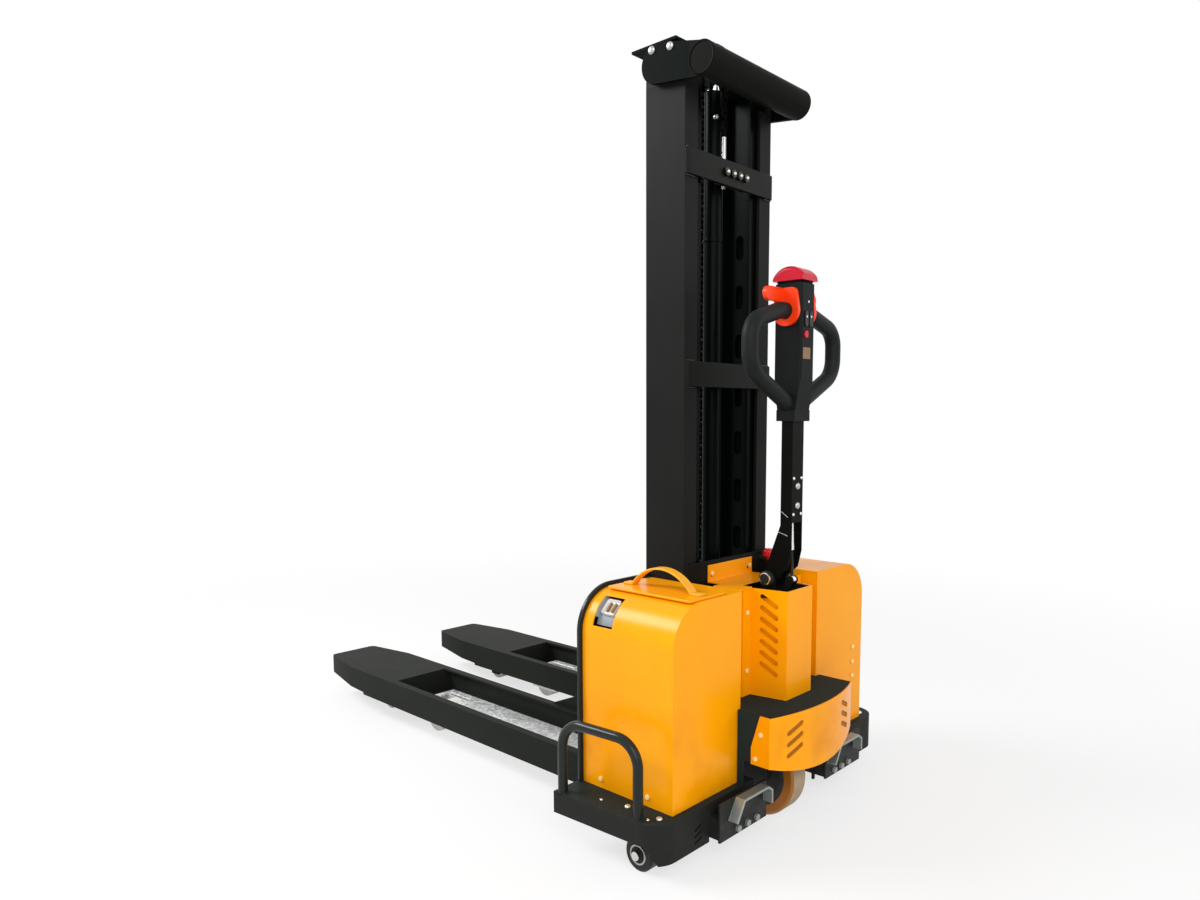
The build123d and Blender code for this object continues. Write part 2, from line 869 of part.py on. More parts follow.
# Column cover: a winged hat section of bent sheet with slanted vents, standing on the drive guard
flange_y = cover_rear_y + column_front_reach
column_rear_y = cover_rear_y - column_rear_reach
with BuildPart() as column_cover:
    with BuildSketch(Plane.XY.offset(guard_top_z)):
        with BuildLine():
            Polyline(
                (-column_half_front - column_flange, flange_y),
                (-column_half_front, flange_y),
                (-column_half_rear, column_rear_y),
                (column_half_rear, column_rear_y),
                (column_half_front, flange_y),
                (column_half_front + column_flange, flange_y),
            )
            offset(amount=sheet, side=Side.LEFT)
        make_face()
    extrude(amount=column_top_z - guard_top_z)
    flange_edge = column_half_front + column_flange
    for side, sx in sides:
        block(
            (sx * (flange_edge - column_wing_lap), sx * (flange_edge + column_wing)),
            (flange_y + sheet, flange_y + 2 * sheet),
            (guard_top_z, column_top_z),
        )
    panel_run = column_front_reach + column_rear_reach
    panel_lean = column_half_front - column_half_rear
    for side, sx in sides:
        panel_mid = (
            sx * (column_half_front + column_half_rear) / 2,
            (flange_y + column_rear_y) / 2,
            (guard_top_z + column_top_z) / 2 + vent_rise,
        )
        panel_run_way = (-sx * panel_lean, -panel_run, 0)
        panel_out_way = (sx * panel_run, -panel_lean, 0)
        panel = Plane(origin=panel_mid, x_dir=panel_run_way, z_dir=panel_out_way)
        with BuildSketch(panel) as vents:
            with GridLocations(0, vent_pitch, 1, vent_count):
                SlotOverall(vent_length, vent_width, rotation=sx * vent_slant)
        extrude(vents.sketch, amount=2 * sheet, both=True, mode=Mode.SUBTRACT)
column_cover.part.label = "column_cover"
export_step(column_cover.part, "parts/column_cover.step")

# Bracket from the lowest crossbar back to the column cover's flanges
with BuildPart() as column_bracket:
    block(
        (-bracket_half, bracket_half),
        (bar_rear_y - sheet, bar_rear_y),
        (bracket_low_z, bracket_low_z + bracket_height),
    )
    block(
        (-bracket_half, bracket_half),
        (cover_rear_y + column_front_reach - sheet, bar_rear_y),
        (column_top_z, column_top_z + sheet),
    )
    block(
        (-column_half_front, column_half_front),
        (cover_rear_y, cover_rear_y + bracket_rear_reach),
        (bracket_low_z - sheet, bracket_low_z + 2 * sheet),
        mode=Mode.SUBTRACT,
    )
column_bracket.part.label = "column_bracket"
export_step(column_bracket.part, "parts/column_bracket.step")

# Drive guard: black top plate and side cheeks round the drive unit
guard_rear_y = cover_rear_y - guard_reach
fold_y = cover_rear_y - guard_fold_reach
cheek_half = guard_half - sheet
with BuildPart() as drive_guard:
    with BuildSketch(Plane.XY.offset(guard_top_z)):
        with BuildLine():
            front_y = cover_rear_y + guard_front_reach
            throat = cover_inner - swing_gap
            Polyline(
                (cheek_half, fold_y),
                (cheek_half, cover_rear_y - swing_gap),
                (throat, cover_rear_y - swing_gap),
                (throat, front_y),
                (-throat, front_y),
                (-throat, cover_rear_y - swing_gap),
                (-cheek_half, cover_rear_y - swing_gap),
                (-cheek_half, fold_y),
            )
            ThreePointArc((-cheek_half, fold_y), (0, guard_rear_y + sheet), (cheek_half, fold_y))
        make_face()
        with Locations((0, steer_y)):
            Circle(neck_r + swing_gap, mode=Mode.SUBTRACT)
    extrude(amount=-guard_plate)
    for side, sx in sides:
        with BuildSketch(Plane.YZ.offset(sx * cheek_half)) as cheek:
            with BuildLine():
                Polyline(
                    (cover_rear_y - swing_gap, guard_top_z),
                    (cover_rear_y - swing_gap, base_top_z),
                    (base_rear_y, base_top_z),
                    (base_rear_y, skirt_end_z),
                    (fold_y, skirt_end_z),
                    (fold_y, guard_top_z),
                    close=True,
                )
            make_face()
        extrude(cheek.sketch, amount=-sx * guard_plate)
drive_guard.part.label = "drive_guard"
export_step(drive_guard.part, "parts/drive_guard.step")

# Guard skirt: yellow sheet bent round the back of the guard
with BuildPart() as guard_skirt:
    with BuildSketch(Plane.XY.offset(skirt_low_z)):
        with BuildLine():
            skirt_front_y = cover_rear_y - skirt_edge_low_reach
            Line((-guard_half, skirt_front_y), (-guard_half, fold_y))
            ThreePointArc((-guard_half, fold_y), (0, guard_rear_y), (guard_half, fold_y))
            Line((guard_half, fold_y), (guard_half, skirt_front_y))
            Line((guard_half, skirt_front_y), (cheek_half, skirt_front_y))
            Line((cheek_half, skirt_front_y), (cheek_half, fold_y))
            ThreePointArc((cheek_half, fold_y), (0, guard_rear_y + sheet), (-cheek_half, fold_y))
            Line((-cheek_half, fold_y), (-cheek_half, skirt_front_y))
            Line((-cheek_half, skirt_front_y), (-guard_half, skirt_front_y))
        make_face()
    extrude(amount=guard_top_z - skirt_low_z)
    with BuildSketch(Plane.YZ.offset(-guard_half - overcut)) as edge_cut:
        with BuildLine():
            Polyline(
                (cover_rear_y - skirt_edge_top_reach, guard_top_z + overcut),
                (cover_rear_y - skirt_edge_low_reach, skirt_edge_z),
                (cover_rear_y, skirt_edge_z),
                (cover_rear_y, guard_top_z + overcut),
                close=True,
            )
        make_face()
    extrude(edge_cut.sketch, amount=2 * (guard_half + overcut), mode=Mode.SUBTRACT)
    with BuildSketch(Plane.XZ.offset(-guard_rear_y + overcut)) as hem_cut:
        with BuildLine():
            ThreePointArc((-guard_half, skirt_end_z), (0, skirt_low_z), (guard_half, skirt_end_z))
            Polyline(
                (guard_half, skirt_end_z),
                (guard_half + overcut, skirt_end_z),
                (guard_half + overcut, skirt_low_z - overcut),
                (-guard_half - overcut, skirt_low_z - overcut),
                (-guard_half - overcut, skirt_end_z),
                (-guard_half, skirt_end_z),
            )
        make_face()
    extrude(hem_cut.sketch, amount=-guard_reach - overcut, mode=Mode.SUBTRACT)
    for side, sx in sides:
        slot_plane = Plane(
            origin=(sx * skirt_slot_x, guard_rear_y, skirt_slot_z),
            x_dir=(1, 0, 0), z_dir=(0, -1, 0),
        )
        with BuildSketch(slot_plane) as skirt_slots:
            with GridLocations(0, skirt_slot_pitch, 1, skirt_slot_count):
                SlotOverall(skirt_slot_length, vent_width, rotation=-sx * skirt_slot_slant)
        extrude(skirt_slots.sketch, amount=guard_fold_reach, both=True, mode=Mode.SUBTRACT)
guard_skirt.part.label = "guard_skirt"
export_step(guard_skirt.part, "parts/guard_skirt.step")

# Steering bearing: a ring under the guard's top plate, round the drive unit's neck
with BuildPart() as steer_bearing:
    bearing_mid = guard_top_z - guard_plate - bearing_height / 2
    disc((0, steer_y, bearing_mid), (0, 0, 1), bearing_outer_r, bearing_height)
    disc((0, steer_y, bearing_mid), (0, 0, 1), neck_r + running_gap, bearing_height, mode=Mode.SUBTRACT)
steer_bearing.part.label = "steer_bearing"
export_step(steer_bearing.part, "parts/steer_bearing.step")

# Guide wheel brackets under the tray, each with one cheek, its axle, a washer and a nut
guide_y = cover_rear_y + guide_reach
base_under_z = base_top_z - base_plate
cheek_inner = guide_width / 2 + slide_gap
with BuildPart() as guide_brackets:
    for side, sx in sides:
        cheek_face = guide_x - cheek_inner
        block(
            (sx * (cheek_face - guide_cheek), sx * (guide_x + cheek_inner)),
            (guide_y - guide_bracket_half, guide_y + guide_bracket_half),
            (base_under_z - guide_cheek, base_under_z),
        )
        block(
            (sx * (cheek_face - guide_cheek), sx * cheek_face),
            (guide_y - guide_pin_r * 2, guide_y + guide_pin_r * 2),
            (guide_r - guide_pin_r * 2, base_under_z),
        )
        disc((sx * guide_x, guide_y, guide_r), (1, 0, 0), guide_pin_r, guide_width + 2 * slide_gap)
        washer_x = guide_x + cheek_inner + guide_washer / 2
        disc((sx * washer_x, guide_y, guide_r), (1, 0, 0), guide_washer_r, guide_washer)
        washer_face_x = sx * (washer_x + guide_washer / 2)
        hex_head((washer_face_x, guide_y, guide_r), (sx, 0, 0), nut_r, nut_height)
guide_brackets.part.label = "guide_brackets"
export_step(guide_brackets.part, "parts/guide_brackets.step")


def roller(center, radius, width, bore, edge):
    with BuildSketch(Plane(origin=center, x_dir=(0, 0, 1), z_dir=(0, 1, 0))) as half:
        with BuildLine():
            Polyline(
                (bore, -width / 2),
                (radius - edge, -width / 2),
                (radius, -width / 2 + edge),
                (radius, width / 2 - edge),
                (radius - edge, width / 2),
                (bore, width / 2),
                close=True,
            )
        make_face()
    revolve(half.sketch, axis=Axis(center, (1, 0, 0)))


for side, sx in sides:
    with BuildPart() as guide_wheel:
        guide_bore = guide_pin_r + running_gap
        roller((sx * guide_x, guide_y, guide_r), guide_r, guide_width, guide_bore, guide_edge)
    guide_wheel.part.label = f"guide_wheel_{side}"
    export_step(guide_wheel.part, f"parts/guide_wheel_{side}.step")

# Inner mast: I sections with slotted webs, cut back at the foot for the foot rollers
inner_rear_y = mast_rear_y + mast_wall + swing_gap
inner_front_y = mast_front_y - mast_wall - swing_gap
inner_half_low = inner_web_face - inner_flange_reach
inner_half_high = inner_web_face + inner_web + inner_flange_reach
foot_roller_r = (mast_depth - 2 * mast_wall) / 2 - slide_gap
foot_roller_z = inner_foot_z + foot_roller_r
for side, sx in sides:
    with BuildPart() as inner_mast:
        block(
            (sx * inner_half_low, sx * inner_half_high),
            (inner_rear_y, inner_front_y),
            (inner_foot_z, head_bar_z),
        )
        for low, high in (
            (inner_half_low - overcut, inner_web_face),
            (inner_web_face + inner_web, inner_half_high + overcut),
        ):
            block(
                (sx * low, sx * high),
                (inner_rear_y + inner_flange_wall, inner_front_y - inner_flange_wall),
                (inner_foot_z - overcut, head_bar_z + overcut),
                mode=Mode.SUBTRACT,
            )
        block(
            (sx * (inner_web_face + inner_web), sx * (inner_half_high + overcut)),
            (inner_rear_y - overcut, inner_front_y + overcut),
            (inner_foot_z - overcut, foot_roller_z + foot_roller_r + swing_gap),
            mode=Mode.SUBTRACT,
        )
        slot_column_z = inner_slot_first_z + (inner_slot_count - 1) * inner_slot_pitch / 2
        with BuildSketch(Plane.YZ.offset(sx * inner_web_face)) as web_slots:
            with Locations((mast_mid_y, slot_column_z)):
                with GridLocations(0, inner_slot_pitch, 1, inner_slot_count):
                    SlotOverall(*inner_slot_size, rotation=90)
        extrude(web_slots.sketch, amount=2 * inner_web, both=True, mode=Mode.SUBTRACT)
        stub = foot_roller_width + slide_gap * 2
        disc(
            (sx * (inner_web_face + inner_web + stub / 2), mast_mid_y, foot_roller_z),
            (1, 0, 0), foot_stub_r, stub,
        )
    inner_mast.part.label = f"inner_mast_{side}"
    export_step(inner_mast.part, f"parts/inner_mast_{side}.step")

with BuildPart() as mast_foot_rollers:
    for side, sx in sides:
        roller_x = inner_web_face + inner_web + slide_gap + foot_roller_width / 2
        roller(
            (sx * roller_x, mast_mid_y, foot_roller_z),
            foot_roller_r, foot_roller_width, foot_stub_r + running_gap, roller_edge,
        )
mast_foot_rollers.part.label = "mast_foot_rollers"
export_step(mast_foot_rollers.part, "parts/mast_foot_rollers.step")

# Mast head: end plates, cross tube, top plate, and the bar and cheeks that carry the chain sheave
with BuildPart() as mast_head:
    for side, sx in sides:
        with BuildSketch(Plane.YZ.offset(sx * head_plate_inner)) as end_plate:
            with Locations((cover_rear_y + head_front_reach, head_front_z)):
                Circle(head_front_r)
            with Locations((cover_rear_y + head_tube_reach, head_tube_z)):
                Circle(head_tube_r)
            make_hull()
        extrude(end_plate.sketch, amount=sx * head_plate)
    head_half_width = head_plate_inner + head_plate
    tube_y = cover_rear_y + head_tube_reach
    disc((0, tube_y, head_tube_z), (1, 0, 0), head_tube_r, 2 * (head_half_width + head_tube_proud))
    block(
        (-head_half_width, head_half_width),
        (cover_rear_y + top_plate_rear_reach, cover_rear_y + top_plate_front_reach),
        (top_plate_z, top_plate_z + top_plate_wall),
    )
    block(
        (-head_plate_inner, head_plate_inner),
        (inner_rear_y, inner_front_y),
        (head_bar_z, head_bar_z + head_bar_wall),
    )
    cheek_low = chain_width / 2 + sheave_flange + sheave_side_gap
    for side, sx in sides:
        block(
            (sx * cheek_low, sx * (cheek_low + sheave_cheek)),
            (cylinder_y - sheave_cheek_half, cylinder_y + sheave_cheek_half),
            (head_bar_z, sheave_z + sheave_cheek_half),
        )
    sheave_room = chain_pitch_r + chain_height / 2 + swing_gap
    block(
        (-cheek_low, cheek_low),
        (cylinder_y - sheave_room, cylinder_y + sheave_room),
        (head_bar_z + head_bar_wall, sheave_z + sheave_room),
        mode=Mode.SUBTRACT,
    )
    for strand in (-1, 1):
        strand_y = cylinder_y + strand * chain_pitch_r
        chain_room = chain_height / 2 + swing_gap
        block(
            (-cheek_low, cheek_low),
            (strand_y - chain_room, strand_y + chain_room),
            (head_bar_z - overcut, head_bar_z + head_bar_wall + overcut),
            mode=Mode.SUBTRACT,
        )
    disc((0, cylinder_y, sheave_z), (1, 0, 0), sheave_pin_r, 2 * (cheek_low + sheave_cheek))
mast_head.part.label = "mast_head"
export_step(mast_head.part, "parts/mast_head.step")

# Chain sheave on the head's pin
sheave_root_r = chain_pitch_r - chain_height / 2 - slide_gap
with BuildPart() as chain_sheave:
    with BuildSketch(Plane(origin=(0, cylinder_y, sheave_z), x_dir=(0, 0, 1), z_dir=(0, 1, 0))):
        with BuildLine():
            groove_half = chain_width / 2 + slide_gap
            Polyline(
                (sheave_pin_r + running_gap, -groove_half - sheave_flange),
                (sheave_rim_r, -groove_half - sheave_flange),
                (sheave_rim_r, -groove_half),
                (sheave_root_r, -groove_half),
                (sheave_root_r, groove_half),
                (sheave_rim_r, groove_half),
                (sheave_rim_r, groove_half + sheave_flange),
                (sheave_pin_r + running_gap, groove_half + sheave_flange),
                close=True,
            )
        make_face()
    revolve(axis=Axis((0, cylinder_y, sheave_z), (1, 0, 0)))
chain_sheave.part.label = "chain_sheave"
export_step(chain_sheave.part, "parts/chain_sheave.step")

# Lift chain: the bend over the sheave, the front strand and the short strand to the anchor
chain_inner_r = chain_pitch_r - chain_height / 2
chain_outer_r = chain_pitch_r + chain_height / 2
with BuildPart() as chain_bend:
    with BuildSketch(Plane.YZ.offset(-chain_width / 2)):
        with BuildLine():
            ThreePointArc(
                (cylinder_y - chain_outer_r, sheave_z),
                (cylinder_y, sheave_z + chain_outer_r),
                (cylinder_y + chain_outer_r, sheave_z),
            )
            Line((cylinder_y + chain_outer_r, sheave_z), (cylinder_y + chain_inner_r, sheave_z))
            ThreePointArc(
                (cylinder_y + chain_inner_r, sheave_z),
                (cylinder_y, sheave_z + chain_inner_r),
                (cylinder_y - chain_inner_r, sheave_z),
            )
            Line((cylinder_y - chain_inner_r, sheave_z), (cylinder_y - chain_outer_r, sheave_z))
        make_face()
    extrude(amount=chain_width)
chain_bend.part.label = "chain_bend"
export_step(chain_bend.part, "parts/chain_bend.step")

with BuildPart() as chain_front:
    block(
        (-chain_width / 2, chain_width / 2),
        (cylinder_y + chain_inner_r, cylinder_y + chain_outer_r),
        (carriage_lug_z, sheave_z),
    )
chain_front.part.label = "chain_front"
export_step(chain_front.part, "parts/chain_front.step")

with BuildPart() as chain_rear:
    block(
        (-chain_width / 2, chain_width / 2),
        (cylinder_y - chain_outer_r, cylinder_y - chain_inner_r),
        (anchor_top_z, sheave_z),
    )
chain_rear.part.label = "chain_rear"
export_step(chain_rear.part, "parts/chain_rear.step")

# Carriage: two roller plates between the inner masts, joined by the bars that carry the forks
carriage_rear_y = inner_rear_y + inner_flange_wall + carriage_rear_gap
fork_outer = fork_inner + fork_width
carriage_roller_r = (inner_front_y - inner_rear_y) / 2 - inner_flange_wall - slide_gap
carriage_roller_face = inner_web_face - 2 * slide_gap
with BuildPart() as carriage_frame:
    for side, sx in sides:
        block(
            (sx * carriage_plate_inner, sx * (carriage_plate_inner + carriage_plate)),
            (carriage_rear_y, carriage_front_y),
            (carriage_low_z, carriage_top_z),
        )
        stub_start = carriage_plate_inner + carriage_plate
        for roller_z in carriage_roller_zs:
            disc(
                (sx * (stub_start + carriage_roller_face) / 2, mast_mid_y, roller_z),
                (1, 0, 0), carriage_stub_r, carriage_roller_face - stub_start,
            )
            roller_back = carriage_roller_face - carriage_roller_width - slide_gap
            disc(
                (sx * (stub_start + roller_back) / 2, mast_mid_y, roller_z),
                (1, 0, 0), carriage_stub_r * carriage_boss_ratio, roller_back - stub_start,
            )
    for low_z, high_z in carriage_bar_zs:
        block((-fork_outer, fork_outer), (carriage_front_y, heel_y), (low_z, high_z))
    block(
        (-carriage_plate_inner, carriage_plate_inner),
        (cylinder_y + chain_inner_r, carriage_front_y),
        (carriage_lug_z - carriage_lug_height, carriage_lug_z),
    )
carriage_frame.part.label = "carriage_frame"
export_step(carriage_frame.part, "parts/carriage_frame.step")

for name, roller_z in zip(("lower", "upper"), carriage_roller_zs):
    with BuildPart() as carriage_rollers:
        for side, sx in sides:
            roller(
                (sx * (carriage_roller_face - carriage_roller_width / 2), mast_mid_y, roller_z),
                carriage_roller_r, carriage_roller_width, carriage_stub_r + running_gap, roller_edge,
            )
    carriage_rollers.part.label = f"carriage_rollers_{name}"
    export_step(carriage_rollers.part, f"parts/carriage_rollers_{name}.step")

# Forks: folded channels open underneath, a lipped trough that ends in a cross wall, and a gusseted heel
fork_mid = fork_inner + fork_width / 2
fork_taper_y = cover_rear_y + fork_taper_reach
fork_roller_y = cover_rear_y + fork_roller_reach
for side, sx in sides:
    with BuildPart() as fork:
        with BuildSketch(Plane.XY.offset(fork_top_z)) as fork_plan:
            with BuildLine():
                Polyline(
                    (sx * fork_inner, heel_y),
                    (sx * fork_inner, fork_taper_y),
                    (sx * (fork_inner + fork_taper), fork_tip_y),
                    (sx * (fork_outer - fork_taper), fork_tip_y),
                    (sx * fork_outer, fork_taper_y),
                    (sx * fork_outer, heel_y),
                    close=True,
                )
            make_face()
            fillet(fork_plan.vertices().group_by(Axis.Y)[-1], fork_corner_r)
        extrude(amount=-(fork_top_z - fork_low_z))
        with BuildSketch(Plane.XY.offset(fork_top_z - fork_top_wall)):
            add(fork_plan.sketch.moved(Location((0, 0, -fork_top_wall))))
            offset(amount=-fork_wall, mode=Mode.REPLACE)
        extrude(amount=-fork_top_z, mode=Mode.SUBTRACT)
        block(
            (sx * (fork_inner + fork_wall), sx * (fork_outer - fork_wall)),
            (heel_y - overcut, heel_y + 2 * heel_wall),
            (0, fork_top_z - fork_top_wall),
            mode=Mode.SUBTRACT,
        )
        block(
            (sx * (fork_inner + fork_lip), sx * (fork_outer - fork_lip)),
            (heel_y + heel_wall, cover_rear_y + fork_plate_reach),
            (0, fork_top_z + overcut),
            mode=Mode.SUBTRACT,
        )
        block((sx * fork_inner, sx * fork_outer), (heel_y, heel_y + heel_wall), (heel_low_z, heel_top_z))
        with BuildSketch(Plane.YZ.offset(sx * fork_inner)) as gusset:
            with BuildLine():
                Polyline(
                    (heel_y + heel_wall, fork_top_z),
                    (cover_rear_y + gusset_reach, fork_top_z),
                    (heel_y + heel_wall, gusset_top_z),
                    close=True,
                )
            make_face()
        extrude(gusset.sketch, amount=sx * fork_wall)
        with BuildSketch(Plane.YZ.offset(sx * (fork_inner - overcut))) as nose_rise:
            with BuildLine():
                Polyline(
                    (cover_rear_y + fork_nose_reach, fork_low_z - overcut),
                    (cover_rear_y + fork_nose_reach, fork_low_z + fork_nose_step),
                    (fork_tip_y + overcut, fork_low_z + fork_nose_rise),
                    (fork_tip_y + overcut, fork_low_z - overcut),
                    close=True,
                )
            make_face()
        extrude(nose_rise.sketch, amount=sx * (fork_width + 2 * overcut), mode=Mode.SUBTRACT)
        block(
            (sx * fork_inner, sx * fork_outer),
            (cover_rear_y + fork_floor_reaches[0], cover_rear_y + fork_floor_reaches[1]),
            (fork_low_z, fork_low_z + fork_floor_wall),
        )
        block(
            (sx * fork_inner, sx * fork_outer),
            (cover_rear_y + fork_plate_reach, cover_rear_y + fork_plate_reach + fork_wall),
            (fork_low_z, fork_top_z),
        )
        hanger_inner = fork_roller_width / 2 + slide_gap
        for out in (-1, 1):
            hanger_x = sx * fork_mid + out * (hanger_inner + hanger_wall / 2)
            block(
                (hanger_x - hanger_wall / 2, hanger_x + hanger_wall / 2),
                (fork_roller_y - hanger_half, fork_roller_y + hanger_half),
                (fork_roller_z - hanger_half, fork_top_z - fork_top_wall),
            )
        pin_length = fork_roller_width + 2 * slide_gap + 2 * hanger_wall
        disc((sx * fork_mid, fork_roller_y, fork_roller_z), (1, 0, 0), fork_pin_r, pin_length)
    fork.part.label = f"fork_{side}"
    export_step(fork.part, f"parts/fork_{side}.step")

    with BuildPart() as fork_roller:
        roller(
            (sx * fork_mid, fork_roller_y, fork_roller_z),
            fork_roller_r, fork_roller_width, fork_pin_r + running_gap, roller_edge,
        )
    fork_roller.part.label = f"fork_roller_{side}"
    export_step(fork_roller.part, f"parts/fork_roller_{side}.step")

# Telescopic legs: galvanised channels with a roller window, an end plate and a strap handle
leg_low_z = leg_top_z - leg_height
leg_roller_y = cover_rear_y + leg_roller_reach
leg_end_y = sleeve_rear_y - leg_end_wall
for side, sx in sides:
    leg_inner = leg_x - leg_width / 2
    leg_outer = leg_x + leg_width / 2
    with BuildPart() as leg:
        block(
            (sx * leg_inner, sx * leg_outer),
            (sleeve_rear_y, cover_rear_y + leg_tip_reach),
            (leg_low_z, leg_top_z),
        )
        block(
            (sx * (leg_inner + leg_wall), sx * (leg_outer - leg_wall)),
            (sleeve_rear_y, cover_rear_y + leg_tip_reach - leg_wall),
            (leg_low_z - overcut, leg_top_z - leg_wall),
            mode=Mode.SUBTRACT,
        )
        window_half = leg_roller_r + leg_window_gap
        block(
            (
                sx * (leg_x - leg_roller_width / 2 - leg_window_gap),
                sx * (leg_x + leg_roller_width / 2 + leg_window_gap),
            ),
            (leg_roller_y - window_half, leg_roller_y + window_half),
            (leg_low_z, leg_top_z + overcut),
            mode=Mode.SUBTRACT,
        )
        axle_room = leg_roller_width / 2 + slide_gap
        for out in (-1, 1):
            cheek_x = sx * leg_x + out * (axle_room + leg_wall / 2)
            block(
                (cheek_x - leg_wall / 2, cheek_x + leg_wall / 2),
                (leg_roller_y - window_half - leg_wall, leg_roller_y + window_half + leg_wall),
                (leg_roller_r - leg_pin_r - leg_ear, leg_top_z - leg_wall),
            )
        pin_length = 2 * (axle_room + leg_wall)
        disc((sx * leg_x, leg_roller_y, leg_roller_r), (1, 0, 0), leg_pin_r, pin_length)
        block(
            (sx * leg_x - leg_plate_half, sx * leg_x + leg_plate_half),
            (leg_end_y, sleeve_rear_y),
            (sleeve_low_z, leg_handle_top_z),
        )
        handle_x = sx * (leg_x - leg_handle_shift)
        with BuildSketch(Plane.XZ.offset(-leg_end_y)) as strap_front:
            with BuildLine():
                Polyline(
                    (handle_x + leg_handle_foot_xs[0], leg_handle_low_z),
                    (handle_x + leg_handle_top_xs[0], leg_handle_top_z),
                    (handle_x + leg_handle_top_xs[1], leg_handle_top_z),
                    (handle_x + leg_handle_foot_xs[1], leg_handle_top_z - leg_handle_corner),
                    (handle_x + leg_handle_foot_xs[1], leg_handle_low_z),
                )
                offset(amount=leg_handle_strap, side=Side.RIGHT)
            make_face()
        extrude(strap_front.sketch, amount=leg_handle_width)
        for nut_x in leg_nut_xs:
            hex_head((handle_x + nut_x, leg_end_y, leg_nut_z), (0, -1, 0), leg_nut_r, nut_height)
    leg.part.label = f"leg_{side}"
    export_step(leg.part, f"parts/leg_{side}.step")

    with BuildPart() as leg_roller:
        roller(
            (sx * leg_x, leg_roller_y, leg_roller_r),
            leg_roller_r, leg_roller_width, leg_pin_r + running_gap, roller_edge,
        )
    leg_roller.part.label = f"leg_roller_{side}"
    export_step(leg_roller.part, f"parts/leg_roller_{side}.step")

# Drive unit: turntable, gear arm and axle under the guard, motor above it on the steering axis
arm_inner = drive_x + drive_width / 2 + drive_arm_gap
axle_start = drive_x - drive_width / 2
with BuildPart() as drive_unit:
    disc(
        (0, steer_y, (turntable_low_z + turntable_top_z) / 2),
        (0, 0, 1), turntable_r, turntable_top_z - turntable_low_z,
    )
    disc((0, steer_y, (turntable_top_z + neck_top_z) / 2), (0, 0, 1), neck_r, neck_top_z - turntable_top_z)
    disc((0, steer_y, (neck_top_z + motor_top_z) / 2), (0, 0, 1), motor_r, motor_top_z - neck_top_z)
    with BuildSketch(Plane.YZ.offset(arm_inner)) as arm_side:
        with Locations((steer_y, drive_r)):
            Circle(drive_arm_half)
        with Locations((steer_y, turntable_low_z)):
            Rectangle(2 * drive_arm_half, drive_arm_wall)
        make_hull()
    extrude(arm_side.sketch, amount=drive_arm_wall)
    disc(
        ((axle_start + arm_inner) / 2, steer_y, drive_r),
        (1, 0, 0), drive_axle_r, arm_inner - axle_start,
    )
drive_unit.part.label = "drive_unit"
export_step(drive_unit.part, "parts/drive_unit.step")

with BuildPart() as drive_wheel:
    hub_center = (drive_x, steer_y, drive_r)
    roller(hub_center, drive_hub_r, drive_width, drive_axle_r + running_gap, roller_edge)
    for out in (-1, 1):
        hub_face_x = drive_x + out * drive_width / 2
        hub_face = Plane(origin=(hub_face_x, steer_y, drive_r), z_dir=(out, 0, 0))
        with BuildSketch(hub_face) as hub_dish:
            Circle(drive_hub_r - hub_rim)
            Circle(hub_boss_r, mode=Mode.SUBTRACT)
        extrude(hub_dish.sketch, amount=-hub_dish_depth, mode=Mode.SUBTRACT)
drive_wheel.part.label = "drive_wheel"
export_step(drive_wheel.part, "parts/drive_wheel.step")

with BuildPart() as drive_tyre:
    roller((drive_x, steer_y, drive_r), drive_r, drive_width, drive_hub_r, tyre_edge)
drive_tyre.part.label = "drive_tyre"
export_step(drive_tyre.part, "parts/drive_tyre.step")

# Steering column: flange on the motor, post, clevis for the tiller pivot and ears for the gas spring
pivot_y = cover_rear_y + pivot_reach
spring_low_y = cover_rear_y - spring_low_reach
clevis_inner = tiller_half + clevis_gap
with BuildPart() as steer_column:
    column_low_z = motor_top_z + column_flange_wall
    disc((0, steer_y, (motor_top_z + column_low_z) / 2), (0, 0, 1), motor_r, column_flange_wall)
    disc(
        (0, steer_y, (column_low_z + clevis_low_z) / 2),
        (0, 0, 1), column_post_r, clevis_low_z - column_low_z,
    )
    block(
        (-clevis_inner - clevis_wall, clevis_inner + clevis_wall),
        (spring_low_y + spring_ear_run, pivot_y + pivot_boss_r),
        (clevis_low_z - column_flange_wall, clevis_low_z),
    )
    for side, sx in sides:
        with BuildSketch(Plane.YZ.offset(sx * clevis_inner)) as clevis_side:
            with Locations((pivot_y, pivot_z)):
                Circle(pivot_boss_r)
            with Locations((pivot_y, clevis_low_z - column_flange_wall / 2)):
                Rectangle(2 * pivot_boss_r, column_flange_wall)
            make_hull()
        extrude(clevis_side.sketch, amount=sx * clevis_wall)
        pin_end_x = sx * (clevis_inner + clevis_wall)
        hex_head((pin_end_x, pivot_y, pivot_z), (sx, 0, 0), pivot_head_r, nut_height)
        ear_inner = spring_eye_half + clevis_gap
        with BuildSketch(Plane.YZ.offset(sx * ear_inner)) as ear_side:
            with Locations((spring_low_y, spring_low_z)):
                Circle(spring_ear_r)
            with Locations((spring_low_y + spring_ear_run, clevis_low_z - column_flange_wall / 2)):
                Rectangle(2 * spring_ear_r, column_flange_wall)
            make_hull()
        extrude(ear_side.sketch, amount=sx * spring_ear_wall)
    disc((0, pivot_y, pivot_z), (1, 0, 0), pivot_r, 2 * (clevis_inner + clevis_wall))
    disc((0, spring_low_y, spring_low_z), (1, 0, 0), spring_pin_r, 2 * (ear_inner + spring_ear_wall))
steer_column.part.label = "steer_column"
export_step(steer_column.part, "parts/steer_column.step")

